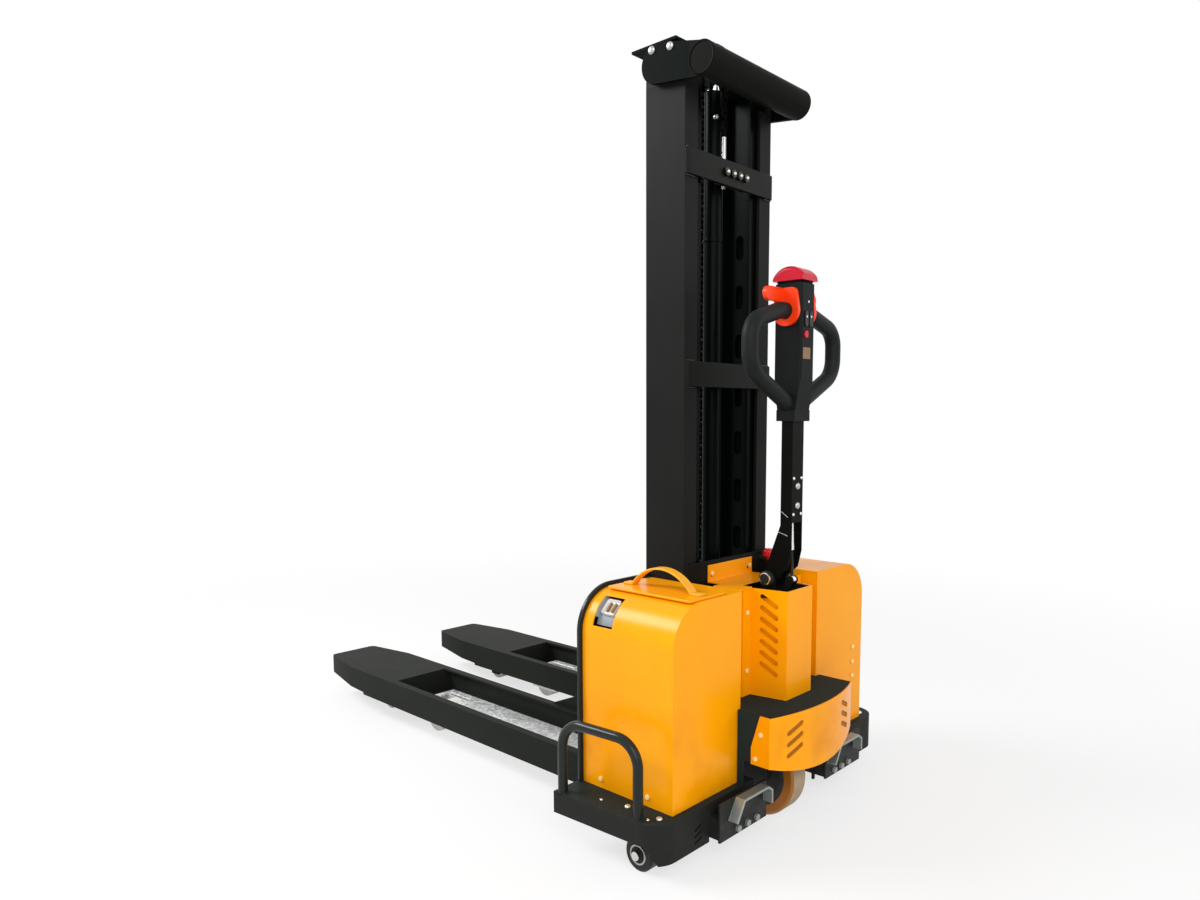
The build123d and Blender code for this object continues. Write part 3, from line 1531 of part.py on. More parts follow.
# Tiller shaft: rectangular tube whose foot opens into two cheeks on the pivot, slotted for the gas spring
tiller_rear_y = cover_rear_y - tiller_rear_reach
tiller_front_y = tiller_rear_y + tiller_depth
spring_top_y = cover_rear_y - spring_top_reach
with BuildPart() as tiller_shaft:
    with BuildSketch(Plane.YZ.offset(-tiller_half)):
        with BuildLine():
            Polyline(
                (tiller_rear_y, tiller_top_z),
                (tiller_rear_y, tiller_heel_z + tiller_heel_rise),
                (tiller_rear_y + tiller_heel_run, tiller_heel_z),
                (pivot_y - pivot_boss_r, pivot_z),
                (pivot_y + pivot_boss_r, pivot_z),
                (tiller_front_y, tiller_flare_z),
                (tiller_front_y, tiller_top_z),
                close=True,
            )
        make_face()
        with Locations((pivot_y, pivot_z)):
            Circle(pivot_boss_r)
    extrude(amount=2 * tiller_half)
    block(
        (-tiller_half + tiller_wall, tiller_half - tiller_wall),
        (tiller_rear_y + tiller_wall, tiller_front_y - tiller_wall),
        (tiller_open_z, tiller_top_z + overcut),
        mode=Mode.SUBTRACT,
    )
    block(
        (-tiller_half + tiller_wall, tiller_half - tiller_wall),
        (tiller_rear_y - overcut, tiller_front_y - tiller_wall),
        (pivot_z - pivot_boss_r - overcut, tiller_open_z),
        mode=Mode.SUBTRACT,
    )
    block(
        (-tiller_half + tiller_wall, tiller_half - tiller_wall),
        (tiller_front_y - tiller_wall - overcut, pivot_y + 2 * pivot_boss_r),
        (pivot_z - pivot_boss_r - overcut, tiller_flare_z),
        mode=Mode.SUBTRACT,
    )
    disc(
        (0, pivot_y, pivot_z), (1, 0, 0), pivot_r + running_gap, 2 * (tiller_half + overcut),
        mode=Mode.SUBTRACT,
    )
    boss_inner = spring_eye_half + slide_gap
    for side, sx in sides:
        disc(
            (sx * (boss_inner + tiller_half - tiller_wall) / 2, spring_top_y, spring_top_z),
            (1, 0, 0), spring_top_eye_r, tiller_half - tiller_wall - boss_inner,
        )
tiller_shaft.part.label = "tiller_shaft"
export_step(tiller_shaft.part, "parts/tiller_shaft.step")

# Gas spring: rod on the column's ears, tube over the rod up to the bosses in the shaft
spring_base = Vector(0, spring_low_y, spring_low_z)
spring_end = Vector(0, spring_top_y, spring_top_z)
spring_way = (spring_end - spring_base).normalized()
with BuildPart() as gas_spring_rod:
    disc(tuple(spring_base), (1, 0, 0), spring_eye_r, 2 * spring_eye_half)
    rod_mid = spring_base + spring_way * (spring_rod_length / 2)
    disc(tuple(rod_mid), tuple(spring_way), spring_rod_r, spring_rod_length)
    disc(
        tuple(spring_base), (1, 0, 0), spring_pin_r + running_gap, 2 * (spring_eye_half + overcut),
        mode=Mode.SUBTRACT,
    )
gas_spring_rod.part.label = "gas_spring_rod"
export_step(gas_spring_rod.part, "parts/gas_spring_rod.step")

with BuildPart() as gas_spring_tube:
    tube_low = spring_base + spring_way * spring_tube_start
    tube_length = (spring_end - tube_low).length - spring_top_eye_r - swing_gap
    disc(tuple(tube_low + spring_way * (tube_length / 2)), tuple(spring_way), spring_tube_r, tube_length)
    neck_length = spring_top_eye_r + swing_gap
    disc(tuple(spring_end - spring_way * (neck_length / 2)), tuple(spring_way), spring_rod_r, neck_length)
    disc(tuple(spring_end), (1, 0, 0), spring_top_eye_r, 2 * spring_eye_half)
    bore_length = tube_length - 2 * spring_top_eye_r
    disc(
        tuple(tube_low + spring_way * (bore_length / 2)),
        tuple(spring_way), spring_rod_r + running_gap, bore_length, mode=Mode.SUBTRACT,
    )
gas_spring_tube.part.label = "gas_spring_tube"
export_step(gas_spring_tube.part, "parts/gas_spring_tube.step")

# Tiller head: moulded housing that narrows to a collar on the shaft
head_rear_y = cover_rear_y - head_rear_reach
head_front_y = head_rear_y + head_depth


def button_outline(x, z, length, width):
    with BuildSketch(Plane(origin=(x, head_rear_y, z), x_dir=(1, 0, 0), z_dir=(0, -1, 0))) as outline:
        SlotOverall(length, width, rotation=90)
    return outline.sketch


with BuildPart() as tiller_head:
    with BuildSketch(Plane.YZ.offset(-head_half)):
        with BuildLine():
            Polyline(
                (tiller_rear_y - collar_wall, tiller_top_z),
                (head_rear_y, head_shoulder_z),
                (head_rear_y, head_top_z),
                (head_front_y, head_top_z),
                (head_front_y, head_shoulder_z),
                (tiller_front_y + collar_wall, tiller_top_z),
                close=True,
            )
        make_face()
    extrude(amount=2 * head_half)
    long_edges = tiller_head.edges().filter_by(Axis.Z)
    fillet(long_edges, head_round)
    block(
        (-tiller_half - collar_wall, tiller_half + collar_wall),
        (tiller_rear_y - collar_wall, tiller_front_y + collar_wall),
        (tiller_top_z - collar_height, tiller_top_z),
    )
    block(
        (-tiller_half, tiller_half),
        (tiller_rear_y, tiller_front_y),
        (tiller_top_z - collar_height, tiller_top_z),
        mode=Mode.SUBTRACT,
    )
    block(
        (-head_half + cap_post_inset, head_half - cap_post_inset),
        (head_rear_y + cap_post_inset, head_front_y - cap_post_inset),
        (head_top_z, head_top_z + cap_post_height),
    )
    for name, button_x, button_z, length, width in head_buttons:
        hole = button_outline(button_x, button_z, length + 2 * running_gap, width + 2 * running_gap)
        extrude(hole, amount=-button_depth - button_travel, mode=Mode.SUBTRACT)
tiller_head.part.label = "tiller_head"
export_step(tiller_head.part, "parts/tiller_head.step")

for name, button_x, button_z, length, width in head_buttons:
    with BuildPart() as button:
        outline = button_outline(button_x, button_z, length, width)
        extrude(outline, amount=-button_depth)
        extrude(outline, amount=button_proud)
    button.part.label = name
    export_step(button.part, f"parts/{name}.step")

# Handle loops: round grips bent from the top of the head out and back to its foot
grip_y = cover_rear_y - grip_reach
with BuildPart() as handle_loops:
    for side, sx in sides:
        with BuildLine(Plane.XZ.offset(-grip_y)) as loop_run:
            FilletPolyline(
                (sx * head_half, loop_top_z),
                (sx * loop_straight, loop_top_z),
                (sx * loop_half, loop_side_z),
                (sx * loop_half, loop_bend_z),
                (0, loop_foot_z),
                radius=loop_bend_radii,
            )
        with BuildSketch(Plane(origin=loop_run.line @ 0, z_dir=loop_run.line % 0)) as loop_section:
            Circle(loop_r)
        sweep(loop_section.sketch, path=loop_run.line)
    block(
        (-head_half, head_half),
        (grip_y - 2 * loop_r, grip_y + 2 * loop_r),
        (tiller_top_z - 4 * loop_r, loop_top_z + 2 * loop_r),
        mode=Mode.SUBTRACT,
    )
    block(
        (-tiller_half - collar_wall, tiller_half + collar_wall),
        (grip_y - 2 * loop_r, grip_y + 2 * loop_r),
        (tiller_top_z - 4 * loop_r, tiller_top_z),
        mode=Mode.SUBTRACT,
    )
handle_loops.part.label = "handle_loops"
export_step(handle_loops.part, "parts/handle_loops.step")

# Throttle: a lobed plate round each loop beside the head, with a thumb wing
with BuildPart() as throttle:
    for side, sx in sides:
        lobe_start = head_half + slide_gap
        with BuildSketch(Plane.YZ.offset(sx * lobe_start)) as lobe:
            with Locations((grip_y, loop_top_z)):
                Circle(throttle_r)
            with Locations((grip_y, throttle_top_z - throttle_corner)):
                with GridLocations(2 * (throttle_top_half - throttle_corner), 0, 2, 1):
                    Circle(throttle_corner)
            make_hull()
        extrude(lobe.sketch, amount=sx * throttle_wall)
        wing_y = grip_y + wing_y_reach
        with BuildSketch(Plane.XZ.offset(-wing_y)) as wing:
            with BuildLine():
                wing_root = sx * (lobe_start + throttle_wall / 2)
                wing_bend_x = sx * (wing_reach - (throttle_top_z - wing_low_z) / 2)
                Line((wing_bend_x, wing_low_z), (wing_root, wing_low_z))
                Line((wing_root, wing_low_z), (wing_root, throttle_top_z))
                Line((wing_root, throttle_top_z), (wing_bend_x, throttle_top_z))
                ThreePointArc(
                    (wing_bend_x, throttle_top_z),
                    (sx * wing_reach, (throttle_top_z + wing_low_z) / 2),
                    (wing_bend_x, wing_low_z),
                )
            make_face()
        extrude(wing.sketch, amount=-wing_wall)
        disc(
            (sx * (lobe_start + throttle_wall / 2), grip_y, loop_top_z),
            (1, 0, 0), loop_r + running_gap, throttle_wall, mode=Mode.SUBTRACT,
        )
throttle.part.label = "throttle"
export_step(throttle.part, "parts/throttle.step")

# Belly button: the red cap that slides on the post at the top of the head
with BuildPart() as belly_button:
    cap_low_z = head_top_z + cap_travel + slide_gap
    cap_rear_y = head_rear_y - cap_overhang
    cap_front_y = head_front_y + cap_overhang
    with BuildSketch(Plane.YZ.offset(-head_half - cap_overhang)):
        with BuildLine():
            Polyline(
                (cap_rear_y, cap_low_z + cap_rear_height),
                (cap_rear_y, cap_low_z),
                (cap_front_y, cap_low_z),
                (cap_front_y, cap_low_z + cap_rear_height),
            )
            ThreePointArc(
                (cap_front_y, cap_low_z + cap_rear_height),
                (cover_rear_y - grip_reach + cap_round, cap_low_z + cap_height),
                (cap_rear_y, cap_low_z + cap_rear_height),
            )
        make_face()
    extrude(amount=2 * (head_half + cap_overhang))
    fillet(belly_button.edges().filter_by(GeomType.CIRCLE), cap_round)
    post_room = cap_post_inset - slide_gap
    block(
        (-head_half + post_room, head_half - post_room),
        (head_rear_y + post_room, head_front_y - post_room),
        (cap_low_z - overcut, head_top_z + cap_post_height + cap_travel + slide_gap),
        mode=Mode.SUBTRACT,
    )
belly_button.part.label = "belly_button"
export_step(belly_button.part, "parts/belly_button.step")

# Hex heads that hold the covers, the column, the bracket and the guard skirt
with BuildPart() as cover_screws:
    for side, sx in sides:
        for reach, head_z in cover_screw_spots:
            hex_head((sx * cover_outer, cover_rear_y + reach, head_z), (sx, 0, 0), screw_r, screw_height)
        for head_z in column_screw_zs:
            column_screw_x = sx * (column_half_front + column_flange / 2)
            hex_head((column_screw_x, flange_y, head_z), (0, -1, 0), screw_r, screw_height)
        for reach, head_z in skirt_bolt_spots:
            hex_head((sx * guard_half, cover_rear_y - reach, head_z), (sx, 0, 0), screw_r, screw_height)
        bracket_screw_z = bracket_low_z + bracket_height / 2
        hex_head(
            (sx * (bracket_half - 2 * screw_r), bar_rear_y - sheet, bracket_screw_z),
            (0, -1, 0), screw_r, screw_height,
        )
    for head_z in pump_screw_zs:
        hex_head((pump_screw_x, cover_rear_y, head_z), (0, -1, 0), screw_r, screw_height)
cover_screws.part.label = "cover_screws"
export_step(cover_screws.part, "parts/cover_screws.step")
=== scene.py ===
import json
import math

import bmesh
import bpy
from mathutils import Matrix, Vector


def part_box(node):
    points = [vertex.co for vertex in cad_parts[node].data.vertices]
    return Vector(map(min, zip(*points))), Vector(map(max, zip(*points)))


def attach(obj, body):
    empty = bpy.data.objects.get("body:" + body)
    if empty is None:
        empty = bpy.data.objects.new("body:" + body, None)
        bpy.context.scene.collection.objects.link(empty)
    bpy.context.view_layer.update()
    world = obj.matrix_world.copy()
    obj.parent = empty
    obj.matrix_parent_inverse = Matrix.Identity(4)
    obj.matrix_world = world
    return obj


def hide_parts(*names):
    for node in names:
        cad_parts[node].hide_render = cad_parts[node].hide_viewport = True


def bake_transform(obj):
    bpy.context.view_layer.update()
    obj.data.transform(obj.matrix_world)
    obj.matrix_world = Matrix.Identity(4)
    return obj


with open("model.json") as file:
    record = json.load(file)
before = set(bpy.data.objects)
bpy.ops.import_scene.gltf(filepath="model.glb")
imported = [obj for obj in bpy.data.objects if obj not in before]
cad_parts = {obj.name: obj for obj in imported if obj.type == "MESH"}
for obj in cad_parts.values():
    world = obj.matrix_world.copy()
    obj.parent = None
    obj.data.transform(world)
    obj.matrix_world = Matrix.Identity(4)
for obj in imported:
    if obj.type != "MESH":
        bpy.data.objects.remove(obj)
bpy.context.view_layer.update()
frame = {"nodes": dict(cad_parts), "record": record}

nodes = frame["nodes"]
scene = bpy.context.scene
scene.view_settings.view_transform = "Standard"
print("frame loaded,", len(nodes), "nodes")

# camera at the photograph's angle, fitted to the square edges of the machine
photoView = {
    "place": (-1.4578, -1.5848, 0.8193),
    "ahead": (0.7407, 0.6649, -0.0962),
    "right": (0.6680, -0.7442, 0.0),
    "lens": 25.556,
    "sensor": 36,
    "shift": (-0.0405, 0.0398),
    "clip": (0.05, 120),
}


def setCamera(view):
    data = bpy.data.cameras.new("photoCamera")
    data.sensor_fit = "HORIZONTAL"
    data.sensor_width = view["sensor"]
    data.lens = view["lens"]
    data.shift_x, data.shift_y = view["shift"]
    data.clip_start, data.clip_end = view["clip"]
    camera = bpy.data.objects.new("photoCamera", data)
    ahead = Vector(view["ahead"]).normalized()
    right = Vector(view["right"]).normalized()
    up = right.cross(ahead)
    turn = Matrix((right, up, -ahead)).transposed().to_4x4()
    camera.matrix_world = Matrix.Translation(view["place"]) @ turn
    scene.collection.objects.link(camera)
    scene.camera = camera


setCamera(photoView)
print("camera set")


def facing(way):
    # the turn that lays Z along a way
    return Vector(way).to_track_quat("Z", "Y").to_matrix().to_4x4()


noiseMiddle = 0.5


class Wire:
    # one output socket: sums, products and comparisons of wires add Math nodes
    def __init__(self, finish, socket):
        self.finish = finish
        self.socket = socket

    def math(self, operation, *others, flip=False):
        values = [*others, self] if flip else [self, *others]
        return self.finish.node("ShaderNodeMath", {"operation": operation}, dict(enumerate(values)))

    def __add__(self, other):
        return self.math("ADD", other)

    __radd__ = __add__

    def __sub__(self, other):
        return self.math("SUBTRACT", other)

    def __rsub__(self, other):
        return self.math("SUBTRACT", other, flip=True)

    def __mul__(self, other):
        return self.math("MULTIPLY", other)

    __rmul__ = __mul__

    def __gt__(self, other):
        return self.math("GREATER_THAN", other)

    def __lt__(self, other):
        return self.math("LESS_THAN", other)

    def swing(self, share):
        # a noise about its middle, scaled
        return (self - noiseMiddle) * share


class Finish:
    # one procedural material, made node by node
    def __init__(self, name):
        self.material = bpy.data.materials.new(name)
        self.material.use_nodes = True
        self.tree = self.material.node_tree
        self.tree.nodes.clear()

    def node(self, kind, settings=None, sockets=None, out=0):
        made = self.tree.nodes.new(kind)
        for key, value in (settings or {}).items():
            setattr(made, key, value)
        for key, value in (sockets or {}).items():
            if isinstance(value, Wire):
                self.tree.links.new(value.socket, made.inputs[key])
            elif value is not None:
                made.inputs[key].default_value = value
        return Wire(self, made.outputs[out]) if made.outputs else None

    def place(self, scale=(1, 1, 1), shift=(0, 0, 0)):
        coords = self.node("ShaderNodeTexCoord", out="Object")
        return self.node("ShaderNodeMapping", None, {"Vector": coords, "Location": shift, "Scale": scale})

    def axis(self, place, letter):
        return self.node("ShaderNodeSeparateXYZ", None, {"Vector": place}, out="XYZ".index(letter))

    def noise(self, place, scale, detail=2.0, rough=0.5):
        sockets = {"Vector": place, "Scale": scale, "Detail": detail, "Roughness": rough}
        return self.node("ShaderNodeTexNoise", None, sockets)

    def cells(self, place, scale):
        return self.node("ShaderNodeTexVoronoi", None, {"Vector": place, "Scale": scale}, "Color")

    def ramp(self, factor, low, high):
        # 0 below the low level, 1 above the high one
        shade = self.node("ShaderNodeValToRGB", None, {"Fac": factor})
        first, last = shade.socket.node.color_ramp.elements
        first.position, last.position = low, high
        return shade

    def mix(self, first, second, factor):
        # sockets of the Mix node for colours: 0 is the factor, 6 and 7 are the colours, 2 is the result
        settings = {"data_type": "RGBA", "blend_type": "MIX"}
        sockets = {0: factor, 6: solid(first), 7: solid(second)}
        return self.node("ShaderNodeMix", settings, sockets, out=2)

    def bump(self, height, strength, depth):
        sockets = {"Height": height, "Strength": strength, "Distance": depth}
        return self.node("ShaderNodeBump", None, sockets)

    def surface(self, colour, rough, normal, metal=0.0, spec=0.5):
        sockets = {"Base Color": solid(colour), "Roughness": rough, "Normal": normal, "Metallic": metal,
                   "Specular IOR Level": spec}
        shader = self.node("ShaderNodeBsdfPrincipled", None, sockets)
        self.node("ShaderNodeOutputMaterial", None, {"Surface": shader})
        return self.material


def solid(colour):
    return colour if isinstance(colour, Wire) else (*colour, 1.0)


# powder coats: body colour, the cloudier second colour, roughness, gloss and the grain of the coat
paintJobs = {
    "yellowPaint": {"body": (0.96, 0.375, 0.0006), "cloud": (0.93, 0.335, 0.0006), "rough": 0.25,
                    "spec": 0.16, "grain": 420, "depth": 0.00010, "lowDarkening": (0.62, 0.185, 0.0006),
                    "lowDarkeningZ": (0.18, 0.31), "lowDarkeningShare": 0.55},
    "blackPaint": {"body": (0.0168, 0.0195, 0.0180), "cloud": (0.0215, 0.0245, 0.0225), "rough": 0.48,
                   "spec": 0.10, "grain": 700, "depth": 0.0001},
    "mastPaint": {"body": (0.0105, 0.0109, 0.0103), "cloud": (0.0135, 0.0139, 0.0132), "rough": 0.48,
                  "spec": 0.045, "grain": 650, "depth": 0.0001},
    "tubePaint": {"body": (0.0105, 0.0140, 0.0120), "cloud": (0.0140, 0.0180, 0.0155), "rough": 0.20,
                  "spec": 0.20, "grain": 500, "depth": 0.00006},
    "guardPaint": {"body": (0.0185, 0.0290, 0.0285), "cloud": (0.0220, 0.0335, 0.0330), "rough": 0.56,
                   "spec": 0.02, "grain": 700, "depth": 0.0001},
    "forkPaint": {"body": (0.0125, 0.0142, 0.0116), "cloud": (0.0165, 0.0182, 0.0150), "rough": 0.50,
                  "spec": 0.045, "grain": 700, "depth": 0.0001},
    "shaftPaint": {"body": (0.0024, 0.0027, 0.0021), "cloud": (0.0040, 0.0044, 0.0036), "rough": 0.42,
                   "spec": 0.045, "grain": 600, "depth": 0.00008},
    "satinBlack": {"body": (0.0050, 0.0056, 0.0046), "cloud": (0.0078, 0.0085, 0.0072), "rough": 0.40,
                   "spec": 0.065, "grain": 600, "depth": 0.00008},
    "glossBlack": {"body": (0.0010, 0.0022, 0.0017), "cloud": (0.0017, 0.0032, 0.0025), "rough": 0.28,
                   "spec": 0.03, "grain": 500, "depth": 0.00005},
    "screwPaint": {"body": (0.97, 0.76, 0.36), "cloud": (0.94, 0.66, 0.24), "rough": 0.30,
                   "spec": 0.5, "grain": 900, "depth": 0.00005},
}

# what all powder coats share: noises as scale, detail and roughness, and how much each one roughens the gloss
paintTexture = {"cloud": (3.5, 4.0, 0.6), "cloudEnds": (0.35, 0.68), "smear": (40, 3.0),
                "smearStretch": (1.0, 1.0, 0.15), "smearRough": 0.05, "grainDetail": 2.0, "grainRough": 0.06,
                "lowPatch": (8.5, 3.0, 0.55), "lowPatchEnds": (0.50, 0.72), "bump": 0.5}


def makePaint(name, job):
    coat = Finish(name)
    place = coat.place()
    patch = coat.ramp(coat.noise(place, *paintTexture["cloud"]), *paintTexture["cloudEnds"])
    grain = coat.noise(place, job["grain"], paintTexture["grainDetail"])
    smear = coat.noise(coat.place(scale=paintTexture["smearStretch"]), *paintTexture["smear"])
    rough = job["rough"] + smear.swing(paintTexture["smearRough"]) + grain.swing(paintTexture["grainRough"])
    colour = coat.mix(job["body"], job["cloud"], patch)
    # the yellow turns darker in noisy patches towards the bottom of the covers
    if "lowDarkening" in job:
        low, high = job["lowDarkeningZ"]
        near = coat.node("ShaderNodeMapRange", None, {
            "Value": coat.axis(place, "Z"), "From Min": low, "From Max": high, "To Min": 1.0, "To Max": 0.0})
        lowPatch = coat.ramp(coat.noise(place, *paintTexture["lowPatch"]), *paintTexture["lowPatchEnds"])
        colour = coat.mix(colour, job["lowDarkening"], near * lowPatch * job["lowDarkeningShare"])
    return coat.surface(colour, rough, coat.bump(grain, paintTexture["bump"], job["depth"]), spec=job["spec"])


finishes = {name: makePaint(name, job) for name, job in paintJobs.items()}

# moulded plastics and rubber: body colour, roughness, gloss, and the size and depth of the moulded texture
mouldings = {
    "headPlastic": {"body": (0.0070, 0.0080, 0.0076), "pale": (0.0105, 0.0118, 0.0112), "rough": 0.45,
                    "spec": 0.055, "grain": 900, "depth": 0.00025},
    "gripRubber": {"body": (0.0066, 0.0088, 0.0080), "pale": (0.0112, 0.0138, 0.0128), "rough": 0.50,
                   "spec": 0.11, "grain": 620, "depth": 0.0003},
    "blackPlastic": {"body": (0.0075, 0.0075, 0.0075), "pale": (0.0130, 0.0130, 0.0130), "rough": 0.42,
                     "spec": 0.25, "grain": 800, "depth": 0.00015},
    "redPlastic": {"body": (0.47, 0.004, 0.022), "pale": (0.56, 0.007, 0.028), "rough": 0.28,
                   "spec": 0.20, "grain": 260, "depth": 0.0001},
    "stopRed": {"body": (0.66, 0.010, 0.014), "pale": (0.74, 0.018, 0.020), "rough": 0.26,
                "spec": 0.30, "grain": 260, "depth": 0.0001},
    "orangePlastic": {"body": (0.89, 0.036, 0.003), "pale": (0.93, 0.052, 0.005), "rough": 0.32,
                      "spec": 0.25, "grain": 260, "depth": 0.0001},
    "strapYellow": {"body": (0.90, 0.38, 0.012), "pale": (0.93, 0.43, 0.030), "rough": 0.42,
                    "spec": 0.30, "grain": 500, "depth": 0.0002},
    "whiteNylon": {"body": (0.68, 0.67, 0.63), "pale": (0.76, 0.75, 0.72), "rough": 0.42,
                   "spec": 0.40, "grain": 300, "depth": 0.0001},
    "slatePlastic": {"body": (0.260, 0.300, 0.335), "pale": (0.330, 0.375, 0.410), "rough": 0.40,
                     "spec": 0.35, "grain": 600, "depth": 0.0001},
    # painted shade: yellow sheet coloured as it looks in the shadow inside the louvres
    "louvreShadeBrown": {"body": (0.30, 0.105, 0.006), "pale": (0.38, 0.140, 0.010), "rough": 0.50,
                    "spec": 0.15, "grain": 420, "depth": 0.0001},
    "brownInsert": {"body": (0.150, 0.062, 0.014), "pale": (0.220, 0.100, 0.026), "rough": 0.45,
                    "spec": 0.30, "grain": 500, "depth": 0.0001},
}

# what all mouldings share
mouldTexture = {"grainDetail": 3.0, "grainRough": 0.15, "drift": (9.0, 3.0), "driftEnds": (0.3, 0.75),
                "driftRough": 0.08, "bump": 0.6}


def makeMoulding(name, job):
    skin = Finish(name)
    place = skin.place()
    grain = skin.noise(place, job["grain"], mouldTexture["grainDetail"])
    drift = skin.noise(place, *mouldTexture["drift"])
    colour = skin.mix(job["body"], job["pale"], skin.ramp(drift, *mouldTexture["driftEnds"]))
    rough = job["rough"] + grain.swing(mouldTexture["grainRough"]) + drift.swing(mouldTexture["driftRough"])
    return skin.surface(colour, rough, skin.bump(grain, mouldTexture["bump"], job["depth"]), spec=job["spec"])


finishes.update({name: makeMoulding(name, job) for name, job in mouldings.items()})

# bright metals: tint, roughness and the direction of the turning marks
brightMetals = {
    "steel": {"body": (0.36, 0.36, 0.35), "pale": (0.50, 0.50, 0.49), "rough": 0.36, "marks": (1, 1, 14)},
    "chrome": {"body": (0.72, 0.73, 0.75), "pale": (0.80, 0.81, 0.82), "rough": 0.14, "marks": (1, 1, 40)},
    "chainSteel": {"body": (0.004, 0.0039, 0.0036), "pale": (0.008, 0.0076, 0.007), "rough": 0.8, "marks": (1, 1, 2)},
    "boltZinc": {"body": (0.60, 0.60, 0.57), "pale": (0.74, 0.73, 0.69), "rough": 0.30, "marks": (6, 6, 1)},
    "sleeveSilver": {"body": (0.70, 0.70, 0.70), "pale": (0.78, 0.78, 0.78), "rough": 0.40, "marks": (1, 1, 20)},
}

# what all bright metals share
turnMarks = {"marks": (160, 3.0), "marksRough": 0.2, "stain": (14, 4.0), "stainEnds": (0.3, 0.7), "stainRough": 0.1,
             "bump": (0.3, 0.00006)}


def makeMetal(name, job):
    metal = Finish(name)
    marks = metal.noise(metal.place(scale=job["marks"]), *turnMarks["marks"])
    stain = metal.noise(metal.place(), *turnMarks["stain"])
    colour = metal.mix(job["body"], job["pale"], metal.ramp(stain, *turnMarks["stainEnds"]))
    rough = job["rough"] + marks.swing(turnMarks["marksRough"]) + stain.swing(turnMarks["stainRough"])
    return metal.surface(colour, rough, metal.bump(marks, *turnMarks["bump"]), metal=1.0)


finishes.update({name: makeMetal(name, job) for name, job in brightMetals.items()})

# the brown top colour is painted shade: the recess's top wall in shadow
socketBlock = {"low": (0.260, 0.300, 0.335), "top": (0.190, 0.085, 0.020), "topZ": 0.4590, "grain": (600, 3.0),
               "rough": 0.4, "grainRough": 0.15, "bump": (0.6, 0.0001), "spec": 0.3}


def makeSocketBlock():
    # slate moulding, coloured brown-orange above a height as painted shade of the recess's top wall
    block = Finish("socketBlock")
    place = block.place()
    grain = block.noise(place, *socketBlock["grain"])
    colour = block.mix(socketBlock["low"], socketBlock["top"], block.axis(place, "Z") > socketBlock["topZ"])
    rough = socketBlock["rough"] + grain.swing(socketBlock["grainRough"])
    return block.surface(colour, rough, block.bump(grain, *socketBlock["bump"]), spec=socketBlock["spec"])


finishes["socketBlock"] = makeSocketBlock()

springRod = {"eye": (0.70, 0.71, 0.73), "rod": (0.030, 0.032, 0.031), "eyeTop": 0.4965, "rough": 0.24,
             "marks": (1, 1, 14)}


def makeSpringRod():
    # bright cast eye below, oiled dark rod above it
    rod = Finish("springRod")
    marks = rod.noise(rod.place(scale=springRod["marks"]), *turnMarks["marks"])
    above = rod.axis(rod.place(), "Z") > springRod["eyeTop"]
    colour = rod.mix(springRod["eye"], springRod["rod"], above)
    rough = springRod["rough"] + marks.swing(turnMarks["marksRough"])
    return rod.surface(colour, rough, rod.bump(marks, *turnMarks["bump"]), metal=1.0)


finishes["springRod"] = makeSpringRod()

sandCast = {"body": (0.018, 0.018, 0.019), "pale": (0.045, 0.044, 0.042), "rough": 0.5, "metal": 0.4,
            "sand": (260, 4.0, 0.65), "sandRough": 0.25, "drift": (12, 3.0), "driftEnds": (0.3, 0.8),
            "bump": (0.7, 0.0005)}


def makeCast():
    # sand-cast gear case under a thin dark coat
    cast = Finish("castMetal")
    place = cast.place()
    sand = cast.noise(place, *sandCast["sand"])
    drift = cast.ramp(cast.noise(place, *sandCast["drift"]), *sandCast["driftEnds"])
    colour = cast.mix(sandCast["body"], sandCast["pale"], drift)
    rough = sandCast["rough"] + sand.swing(sandCast["sandRough"])
    return cast.surface(colour, rough, cast.bump(sand, *sandCast["bump"]), metal=sandCast["metal"])


finishes["castMetal"] = makeCast()

zincSpangle = {"scale": 150, "body": (0.50, 0.51, 0.51), "pale": (0.88, 0.88, 0.88), "rough": 0.42, "metal": 0.6,
               "spec": 0.25, "toneShare": 0.9, "toneRough": 0.2, "stain": (11, 4.0), "stainShare": 0.5,
               "stainRough": 0.15, "frost": (180, 2.0), "bump": (0.3, 0.0001), "plateEnds": (-0.6875, -0.6815),
               "plate": (0.0105, 0.0112, 0.0098), "plateRough": 0.12, "strap": (0.30, 0.325, 0.305)}


def zincColour(zinc):
    # crystals of hot-dip zinc: each cell has its own tone and gloss
    place = zinc.place()
    tone = zinc.axis(zinc.cells(place, zincSpangle["scale"]), "X")
    stain = zinc.noise(place, *zincSpangle["stain"])
    share = tone * zincSpangle["toneShare"] + stain.swing(zincSpangle["stainShare"])
    colour = zinc.mix(zincSpangle["body"], zincSpangle["pale"], share)
    rough = zincSpangle["rough"] + tone.swing(zincSpangle["toneRough"]) + stain.swing(zincSpangle["stainRough"])
    return colour, rough, zinc.bump(zinc.noise(place, *zincSpangle["frost"]), *zincSpangle["bump"])


def makeLegZinc():
    # the leg's end plate is painted black, between its two Y stations, and the strap behind it is duller
    zinc = Finish("legZinc")
    colour, rough, normal = zincColour(zinc)
    along = zinc.axis(zinc.place(), "Y")
    low, high = zincSpangle["plateEnds"]
    plate = (along > low) * (along < high)
    colour = zinc.mix(colour, zincSpangle["strap"], along < low)
    colour = zinc.mix(colour, zincSpangle["plate"], plate)
    return zinc.surface(colour, rough + plate * zincSpangle["plateRough"], normal,
                        metal=zincSpangle["metal"] * (1 - plate), spec=zincSpangle["spec"])


finishes["legZinc"] = makeLegZinc()

